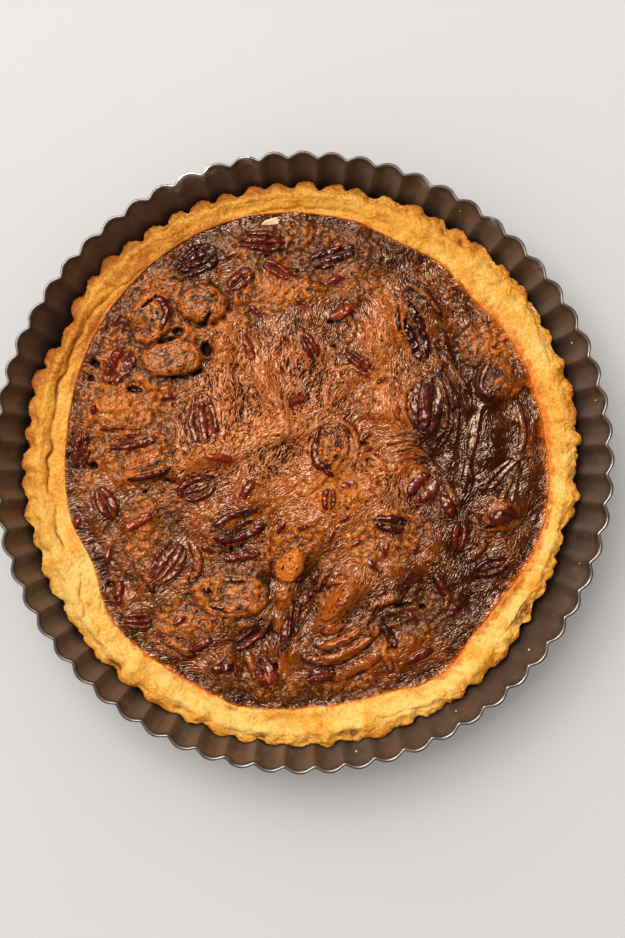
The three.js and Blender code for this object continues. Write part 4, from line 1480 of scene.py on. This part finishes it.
def baked_surface(x, y, over_piece=False):
    """The baked top at any points: its height, its masks and the run of its wrinkles."""
    settings, crust = bpy.context.scene.pie_filling, bpy.context.scene.pie_crust
    flat = flat_points(x, y)
    angle = np.arctan2(y - crust.centre[1], x - crust.centre[0])
    inward = inner_edge(crust, angle) - np.hypot(x - crust.centre[0], y - crust.centre[1])
    degrees = np.degrees(angle)
    lively, calm = patches(x, y, WRINKLED_AND_SHEEN), patches(x, y, CALM)
    foam = np.clip(patches(x, y, FOAMS) + 0.45 * layered(flat, 10 * MM, 71), 0, 1)
    crisp = 0.08 + 0.92 * foam
    run = skin_run(flat, x, y)
    form = broad_form(x, y)
    swell, gap, pale, inside, lump = over_pecans(flat, x, y)
    folds, drapes = drawn_skin(flat, x, y, run, foam)
    crumb, seams = crisp_foam(flat, crisp, lump)
    bands = ridge_lines(x, y)
    chip, chip_tint = chips(flat, x, y)
    depth, dark = holes(flat, x, y)
    rise, under_roll, seam = beside_pastry(flat, degrees, inward)

    # The height, with the surface drawn in under the middle of a separate piece.
    z = filling_height(settings, x, y, crust) + rise + bands + swell - depth
    z += (1.5 * noise(flat, 16 * MM, 3) + 0.5 * noise(flat, 7 * MM, 4)) * MM
    z += (0.3 * folds + 0.8 * drapes) * MM * (1 - 0.7 * lump)
    z += crumb * MM * crisp * (1 - 0.75 * lump)
    z += (form + 1.4 * chip - gap - 0.9 * seams) * MM
    if not over_piece:
        z -= 1.6 * MM * (1 - between(inside, 0.62, 0.84))

    # The tone varies at random and by place, paler on swells, folds, ridge crests and crisp crumbs as
    # painted light, and darker in hollows, beside ridges, in gaps, seams and at the pastry as painted
    # shade.
    tone = 0.35 + 0.25 * noise(flat, 20 * MM, 111) + 0.4 * crisp * noise(flat, 3 * MM, 112)
    tone += 0.35 * drapes + 0.25 * folds + pale + 0.2 * lump + 0.1 * lively
    tone += 0.45 * crisp * (crumb - 0.3) - 0.7 * seams + 0.16 * np.clip(form, -3, 3)
    tone += 0.3 * between(bands, 0.3 * MM, 1.5 * MM)
    tone -= 0.5 * bell(bands / MM - 0.25, 0.22) * (bands > 0.02 * MM)
    tone += 0.3 * patches(x, y, PALE_PLACES) - 0.42 * patches(x, y, DARK_PLACES)
    tone -= 0.3 * np.clip(gap, 0, 1) + 0.3 * bell(inward - 3 * MM, 3 * MM)

    # The covered pieces are crisp all over, and drawn ridges are bare skin.
    foam = np.maximum(foam, 0.95 * lump)
    level = calm + facing(degrees, 140, 60) * (1 - between(inward, 3 * MM, 16 * MM))
    # Painted shade in the holes, in the gaps beside pieces and under the pastry's roll.
    shade_in_hollows = dark + 0.6 * between(gap, 0.6, 1.6) + 0.8 * under_roll
    return z, {
        "foam": foam * (1 - 0.8 * between(bands, 0.5 * MM, 1.2 * MM)), "tone": tone,
        "seam": np.clip(seam, 0, 1), "hollow_shade": np.clip(shade_in_hollows, 0, 1),
        "pores": np.clip(0.75 + 0.6 * noise(flat, 15 * MM, 121), 0.2, 1.2),
        "bare": between(chip + 0.25 * noise(flat, 1.6 * MM, 172), 0.35, 0.6),
        "tint": chip_tint, "flat": np.clip(level, 0, 1), "run": run,
        # Painted sheen, strongest where the skin is most wrinkled and on the drawn ridges.
        "painted_sheen": 0.12 + 1.05 * lively + 0.4 * between(bands, 0.4 * MM, 1.2 * MM),
    }


def top_material(name):
    """Glossy skin, crisp foam with pores and holes, painted shade in them and under the pastry's roll,
    caramel at the pastry and bare pecan.
    """
    scene = bpy.context.scene
    filling, pecan = scene.pie_filling, scene.pie_pecan
    caramel = scene.pie_crust.caramel
    look, tree, shader = new_material(name)
    baked = use_group(
        tree, baked_group(), Foam=mask(tree, "foam"), Tone=mask(tree, "tone"),
        Pore_Size=mask(tree, "pores"), Crests=mask(tree, "painted_sheen"),
    )
    fine = grain(tree, 520, 4, 0.65)
    tint = roughen(tree, mask(tree, "tint"), fine, 0.8)
    skin = blend(tree, ramp(tree, tint, 0.0, 0.5), pecan.plum, pecan.mahogany)
    skin = blend(tree, ramp(tree, tint, 0.5, 1.0), skin, pecan.rust)
    bare = ramp(tree, roughen(tree, mask(tree, "bare"), fine, 0.7), 0.3, 0.6)
    syrup = blend(tree, 0.3, caramel, filling.skin_dark)
    seam = ramp(tree, roughen(tree, mask(tree, "seam"), fine, 1.2), 0.2, 1.0)
    base = blend(tree, seam, baked["Color"], syrup)
    base = blend(tree, bare, base, skin)
    # Painted shade in the hollows.
    base = blend(tree, ramp(tree, mask(tree, "hollow_shade"), 0.2, 0.8), base, filling.pore_shade)
    fill(tree, shader.inputs["Base Color"], base)
    rough = times(tree, calc(tree, "SUBTRACT", 1.0, bare), baked["Roughness"])
    rough = calc(tree, "MULTIPLY_ADD", bare, ramp(tree, fine, 0.3, 0.7, 0.24, 0.4), rough)
    rough = calc(tree, "MULTIPLY_ADD", mask(tree, "flat"), -0.03, rough)
    fill(tree, shader.inputs["Roughness"], rough)
    shader.inputs["Specular Tint"].default_value = (1.0, 0.76, 0.58, 1)
    shader.inputs["Specular IOR Level"].default_value = 0.34
    relief = times(tree, baked["Height"], calc(tree, "SUBTRACT", 1.1, bare))
    bump(tree, shader, relief, 0.42 * MM)
    return look


class PIE_OT_filling(bpy.types.Operator):
    """Makes the baked filling, its skin drawn over and around the pecan pieces"""

    bl_idname = "pie.filling"
    bl_label = "Baked Filling"

    underside = 6 * MM

    def execute(self, context):
        settings, crust = context.scene.pie_filling, context.scene.pie_crust
        share, angle, triangles = ring_net(settings.rings)
        edge = inner_edge(crust, angle) + 0.35 * MM
        even = crust.inner_radius + 0.35 * MM
        radius = share * (even + (edge - even) * share ** 2)
        x = crust.centre[0] + radius * np.cos(angle)
        y = crust.centre[1] + radius * np.sin(angle)
        z, masks = baked_surface(x, y)
        skirt = [(0.995, 3 * MM), (0.965, None)]
        points, triangles = closed_under(
            np.stack([x, y, z], 1), triangles, settings.rings, skirt, self.underside
        )
        look = top_material("baked_filling")
        piece("baked_filling", points, triangles, look, ["filling"], masks)
        return {"FINISHED"}


def ridge_relief(look, s, t, wobble):
    """Height of the bare ridges over the piece's outline disc, from 0 to 1."""
    most = np.zeros_like(s)
    rough = 1 + 0.3 * look["wave"] * wobble[1]
    radius, towards = np.hypot(s, t), np.degrees(np.arctan2(t, s))
    strips = []
    for mid, half, start, end, tall in look["layout"].get("straight", ()):
        bend = mid * (1 - 0.62 * s * s) + 0.1 * look["wave"] * wobble[0]
        strips.append((t - bend, (s - (start + end) / 2) / ((end - start) / 2), half, tall))
    for mid, half, start, end, tall in look["layout"].get("rim", ()):
        out = radius - mid - 0.08 * look["wave"] * wobble[0]
        strips.append((out, wrapped(towards - (start + end) / 2) / ((end - start) / 2), half, tall))
    for off, along, half, tall in strips:
        taper = np.clip(1 - along ** 2, 0, 1)
        across = off / (half * rough * (0.35 + 0.65 * taper ** 0.5))
        body = np.clip(1 - across ** 2, 0, 1) ** 0.55 * taper ** 0.35
        most = np.maximum(most, tall * body)
    return most


class PIE_OT_pecans(bpy.types.Operator):
    """Makes the pecan pieces, half sunk and partly filmed over"""

    bl_idname = "pie.pecans"
    bl_label = "Pecan Pieces"

    def execute(self, context):
        rings = context.scene.pie_pecan.rings
        net = ring_net(rings)
        look = top_material("roasted_pecan")
        for index, name in enumerate(PECAN_NAMES):
            points, triangles, masks = self.shape(name, index, rings, net)
            piece(f"{name}_kernel", points, triangles, look, [name], masks)
        return {"FINISHED"}

    def shape(self, name, index, rings, net):
        """One piece's mesh and masks."""
        place, look = pecan_place(name), PECAN_LOOKS[name]
        share, angle, triangles = net
        s, t = share * np.cos(angle), share * np.sin(angle)
        half_long, half_wide = 0.5 * place["length"], 0.5 * place["width"]
        seed = 200 + 7 * index
        ring_way = np.stack([np.cos(angle), np.sin(angle), 0 * angle + index], 1)
        outline = 1 + 0.07 * np.abs(np.sin(2 * angle)) * share
        outline += 0.09 * noise(ring_way, 0.7, seed + 4)
        along, across = s * outline * half_long, t * outline * half_wide * (1 + 0.12 * s)
        way = math.radians(place["turn"])
        x = place["x"] + along * math.cos(way) - across * math.sin(way)
        y = place["y"] + along * math.sin(way) + across * math.cos(way)
        local = flat_points(along, across) + (index, 0, 0)
        wobble = noise(local * (0.35, 1, 1), 4 * MM, seed), noise(local, 2.8 * MM, seed + 1)
        ridge = ridge_relief(look, s, t, wobble)
        grains = 0.16 * noise(local, 2.4 * MM, seed + 2) + 0.1 * noise(local, 1.2 * MM, seed + 3)
        beads = 0.9 + look["wave"] * grains
        z, masks = baked_surface(x, y, over_piece=True)
        z += look["rise"] * MM * ridge * beads - 0.8 * MM * between(share, 0.86, 1)
        bare = ridge * look["bare"] + 0.3 * noise(local, 1.5 * MM, seed + 5)
        masks["bare"] = np.maximum(masks["bare"], between(bare, 0.4, 0.62))
        # Painted light and shade: the ridges' tops take the paler tint and their flanks the darker.
        tint = look["tint"] + 0.35 * noise(local, 2.6 * MM, seed + 6) + 0.7 * (ridge - 0.7)
        masks["tint"] = np.where(ridge > 0.1, tint, masks["tint"])
        # Painted shade at the ridges' feet and in the furrows between them.
        beside = between(noise(local, 5 * MM, seed + 8), -0.3, 0.3)
        masks["tone"] = masks["tone"] - 0.7 * beside * bell(ridge - 0.25, 0.2)
        masks["tone"] -= 0.35 * look["bare"] * (ridge < 0.1) * (1 - between(share, 0.5, 0.8)) * beside
        masks["hollow_shade"] = masks["hollow_shade"] * (1 - between(ridge, 0.1, 0.4))
        low = z.min() - 2 * MM
        points, triangles = closed_under(
            np.stack([x, y, z], 1), triangles, rings, [(0.97, 1.6 * MM)], low
        )
        return points, triangles, masks


# --------------------------------------------------------------------- flakes


class PIE_OT_flakes(bpy.types.Operator):
    """Makes the thin pastry flakes at the rim's outer edge and the crumbs in the tin"""

    bl_idname = "pie.flakes"
    bl_label = "Flakes and Crumbs"

    # Flakes, in mm and degrees: [x, y, height, length, width, turn off the rim's way, lift].
    flakes = [
        (106.4, 68.6, 22.6, 9.5, 3.4, -6, 1.6), (125.4, 9.0, 21.4, 6.0, 1.6, 14, 0.8),
        (-108.6, -68.4, 21.5, 5.0, 2.8, 10, 0.8), (10.2, -128.2, 21.0, 11.5, 3.4, 2, 1.0),
        (26.6, -126.8, 21.2, 6.0, 3.0, -8, 1.2), (47.2, -119.8, 21.4, 5.0, 3.2, 20, 1.0),
        (61.8, -111.4, 21.6, 6.0, 3.4, -10, 1.2), (69.8, -106.4, 21.8, 7.0, 3.2, 6, 1.0),
        (80.0, -99.0, 21.8, 8.0, 3.4, -4, 1.2), (87.8, -89.2, 22.0, 7.0, 3.2, 12, 1.0),
        (95.6, -81.0, 22.0, 6.5, 3.0, -8, 1.2), (-14.6, 111.2, 24.4, 9.0, 2.6, 4, 0.5),
        (-60.0, -110.5, 21.4, 6.0, 2.6, 8, 0.9), (-88.0, -92.0, 21.6, 5.0, 2.4, -12, 0.8),
        (118.5, 41.0, 21.8, 5.0, 2.4, 10, 0.9),
    ]
    # Crumbs on the tin's wall, in mm: [direction in degrees, height, size].
    crumbs = [
        (-39.6, 30, 1.0), (-58.3, 31, 0.8), (-79.5, 30, 0.9), (12, 34, 0.6), (58, 33, 0.6),
        (24, 31, 0.7), (-20, 33, 0.6),
    ]
    rings = 9
    thickness = 0.55 * MM

    def execute(self, context):
        crust, tin = context.scene.pie_crust, context.scene.pie_tin
        share, angle, triangles = ring_net(self.rings)
        bodies = [self.flake(share, angle, *made) for made in enumerate(self.flakes)]
        bodies += [self.crumb(share, angle, crust, tin, *made) for made in enumerate(self.crumbs)]
        points, faces, start = [], [], 0
        for flat, middle, thick in bodies:
            points.append(np.column_stack([flat, middle + thick / 2]))
            points.append(np.column_stack([flat, middle - thick / 2]))
            count = len(flat)
            rim = np.arange(count - 6 * self.rings, count)
            after = np.roll(rim, -1)
            faces += [start + triangles, start + count + triangles[:, ::-1]]
            faces += [
                start + np.stack([rim, rim + count, after + count], 1),
                start + np.stack([rim, after + count, after], 1),
            ]
            start += 2 * count
        points = np.concatenate(points)
        reach = np.hypot(points[:, 0], points[:, 1])
        angles = np.arctan2(points[:, 1], points[:, 0])
        room = room_in_tin(tin, crust, angles, points[:, 2]) + 0.3 * MM
        points[:, :2] *= np.minimum(1, room / reach)[:, None]
        baked = 0.3 + 0.5 * noise(points, 4 * MM, 84)
        masks = {"baked": baked, "deep": 0 * baked, "syrup": 0 * baked}
        look = bpy.data.materials["baked_pastry"]
        piece("pastry_flakes", points, np.concatenate(faces), look, (), masks)
        return {"FINISHED"}

    def flake(self, share, angle, index, size):
        """A curled flake: its outline, middle height and thickness."""
        x, y, height, long, wide, lean, lift = size
        way = math.atan2(y, x) + math.pi / 2 + math.radians(lean)
        ragged = noise(flat_points(np.cos(angle) + 3 * index, np.sin(angle)), 0.7, 81)
        radius = share * (1 + 0.5 * ragged)
        along = radius * np.cos(angle) * 0.5 * long * MM
        across = radius * np.sin(angle) * 0.5 * wide * MM
        flat = np.stack([
            x * MM + along * math.cos(way) - across * math.sin(way),
            y * MM + along * math.sin(way) + across * math.cos(way),
        ], 1)
        curl = lift * MM * ((along / (0.5 * long * MM)) ** 2 - 0.4) - 0.35 * across
        curl += 0.5 * MM * noise(flat_points(*flat.T), 2.4 * MM, 82)
        return flat, height * MM + curl, self.thickness * (1 - share ** 3)

    def crumb(self, share, angle, crust, tin, index, size):
        """A crumb on the tin's wall: its outline, middle height and thickness."""
        towards, height, across = size
        way = math.radians(towards)
        radius = room_in_tin(tin, crust, way, height * MM) - 0.1 * MM
        ragged = noise(flat_points(np.cos(angle) + 5 * index, np.sin(angle)), 0.7, 83)
        half = 0.5 * across * MM * share * (1 + 0.5 * ragged)
        flat = np.stack([
            radius * math.cos(way) + half * np.cos(angle),
            radius * math.sin(way) + half * np.sin(angle),
        ], 1)
        return flat, height * MM + 0 * share, across * MM * np.sqrt(1 - 0.98 * share ** 2)


# ---------------------------------------------------------------------- stage


class PIE_OT_stage(bpy.types.Operator):
    """Sets the pale floor, the soft window light and the camera straight above"""

    bl_idname = "pie.stage"
    bl_label = "Floor, Light and Camera"

    # Metres, from the middle of the floor.
    floor_half = 3.0
    window_place = (-0.46, 0.55, 1.3)
    gleam_place = (-0.58, 0.69, 1.65)
    lamp_size = 1.0
    lamp_colour = (1.0, 0.975, 0.94)
    # The room's own light: overall, and as mirrored from the walls and the ceiling.
    room_colour = (1.0, 0.985, 0.96, 1)
    sky_glow = 0.77
    room_glow = 0.36
    ceiling_glow = 0.012
    # The room is brighter on the window's side.
    window_way = (-0.64, 0.77, 0)
    far_side = 0.45
    near_side = 1.35

    def execute(self, context):
        stage = context.scene.pie_stage
        self.add_floor(stage)
        self.add_lamp("window", self.window_place, stage.key_power)
        self.add_lamp("gleam", self.gleam_place, stage.gleam_power)
        self.add_room()
        camera = bpy.data.cameras.new("overhead")
        camera.lens = stage.lens
        camera.sensor_width = 36
        seat = bpy.data.objects.new("overhead", camera)
        seat.location = (*stage.camera_place, stage.camera_height)
        context.scene.collection.objects.link(seat)
        context.scene.camera = seat
        context.scene.view_settings.view_transform = "Standard"
        context.scene.view_settings.look = "Medium High Contrast"
        return {"FINISHED"}

    def add_floor(self, stage):
        """The matt floor, which takes no gleam."""
        half = self.floor_half
        mesh = bpy.data.meshes.new("floor")
        corners = [(-half, -half, 0), (half, -half, 0), (half, half, 0), (-half, half, 0)]
        mesh.from_pydata(corners, [], [(0, 1, 2, 3)])
        look, tree, shader = new_material("pale_floor")
        tone = grain(tree, 3, 2, 0.5)
        shade = [0.93 * level for level in stage.floor]
        fill(tree, shader.inputs["Base Color"], blend(tree, tone, stage.floor, shade))
        shader.inputs["Roughness"].default_value = 0.7
        shader.inputs["Specular IOR Level"].default_value = 0
        mesh.materials.append(look)
        floor = bpy.data.objects.new("floor", mesh)
        bpy.context.scene.collection.objects.link(floor)

    def add_lamp(self, name, place, power):
        """A square lamp that faces the middle; the window lights and the gleam is mirrored."""
        light = bpy.data.lights.new(name, "AREA")
        light.shape = "SQUARE"
        light.size = self.lamp_size
        light.energy = power
        light.color = self.lamp_colour
        lamp = bpy.data.objects.new(name, light)
        lamp.location = place
        x, y, z = place
        lamp.rotation_euler = (math.atan2(math.hypot(x, y), z), 0, math.atan2(x, -y))
        lamp.visible_diffuse = name == "window"
        lamp.visible_glossy = name == "gleam"
        bpy.context.scene.collection.objects.link(lamp)

    def add_room(self):
        """The light of the room: even on matt faces, and dark overhead where it is mirrored."""
        world = bpy.data.worlds.new("room")
        world.use_nodes = True
        tree = world.node_tree
        way = add_node(tree, "ShaderNodeTexCoord").outputs["Generated"]
        upward = add_node(tree, "ShaderNodeSeparateXYZ", {}, Vector=way).outputs["Z"]
        sky = tree.nodes["Background"]
        sky.inputs["Color"].default_value = self.room_colour
        mirrored = add_node(tree, "ShaderNodeLightPath").outputs["Is Glossy Ray"]
        seen = ramp(tree, upward, 0.55, 0.92, self.room_glow, self.ceiling_glow)
        even = times(tree, calc(tree, "SUBTRACT", 1.0, mirrored), self.sky_glow)
        glow = calc(tree, "MULTIPLY_ADD", seen, mirrored, even)
        window_side = dot(tree, way, self.window_way)
        side = ramp(tree, window_side, -0.7, 0.8, self.far_side, self.near_side)
        fill(tree, sky.inputs["Strength"], times(tree, glow, side))
        bpy.context.scene.world = world


# ------------------------------------------------------------ panel and running


STEPS = ["tin", "crust", "filling", "pecans", "flakes", "stage"]


class PIE_PT_panel(bpy.types.Panel):
    """Lists the pie's pieces and their settings"""

    bl_idname = "PIE_PT_panel"
    bl_label = "Pecan Pie"
    bl_space_type = "VIEW_3D"
    bl_region_type = "UI"
    bl_category = "Pie"

    def draw(self, context):
        for step in STEPS:
            self.layout.operator(f"pie.{step}")
        for name, settings in SETTINGS.items():
            box = self.layout.box()
            box.label(text=settings.__doc__)
            for value in settings.__annotations__:
                box.prop(getattr(context.scene, name), value)


CLASSES = [
    *SETTINGS.values(), PIE_OT_tin, PIE_OT_crust, PIE_OT_filling, PIE_OT_pecans, PIE_OT_flakes,
    PIE_OT_stage, PIE_PT_panel,
]


def register():
    for each in CLASSES:
        bpy.utils.register_class(each)
    for name, settings in SETTINGS.items():
        setattr(bpy.types.Scene, name, bpy.props.PointerProperty(type=settings))


def unregister():
    for name in SETTINGS:
        delattr(bpy.types.Scene, name)
    for each in reversed(CLASSES):
        bpy.utils.unregister_class(each)


def main():
    """Makes every piece."""
    register()
    for step in STEPS:
        getattr(bpy.ops.pie, step)()


if __name__ == "__main__":
    main()
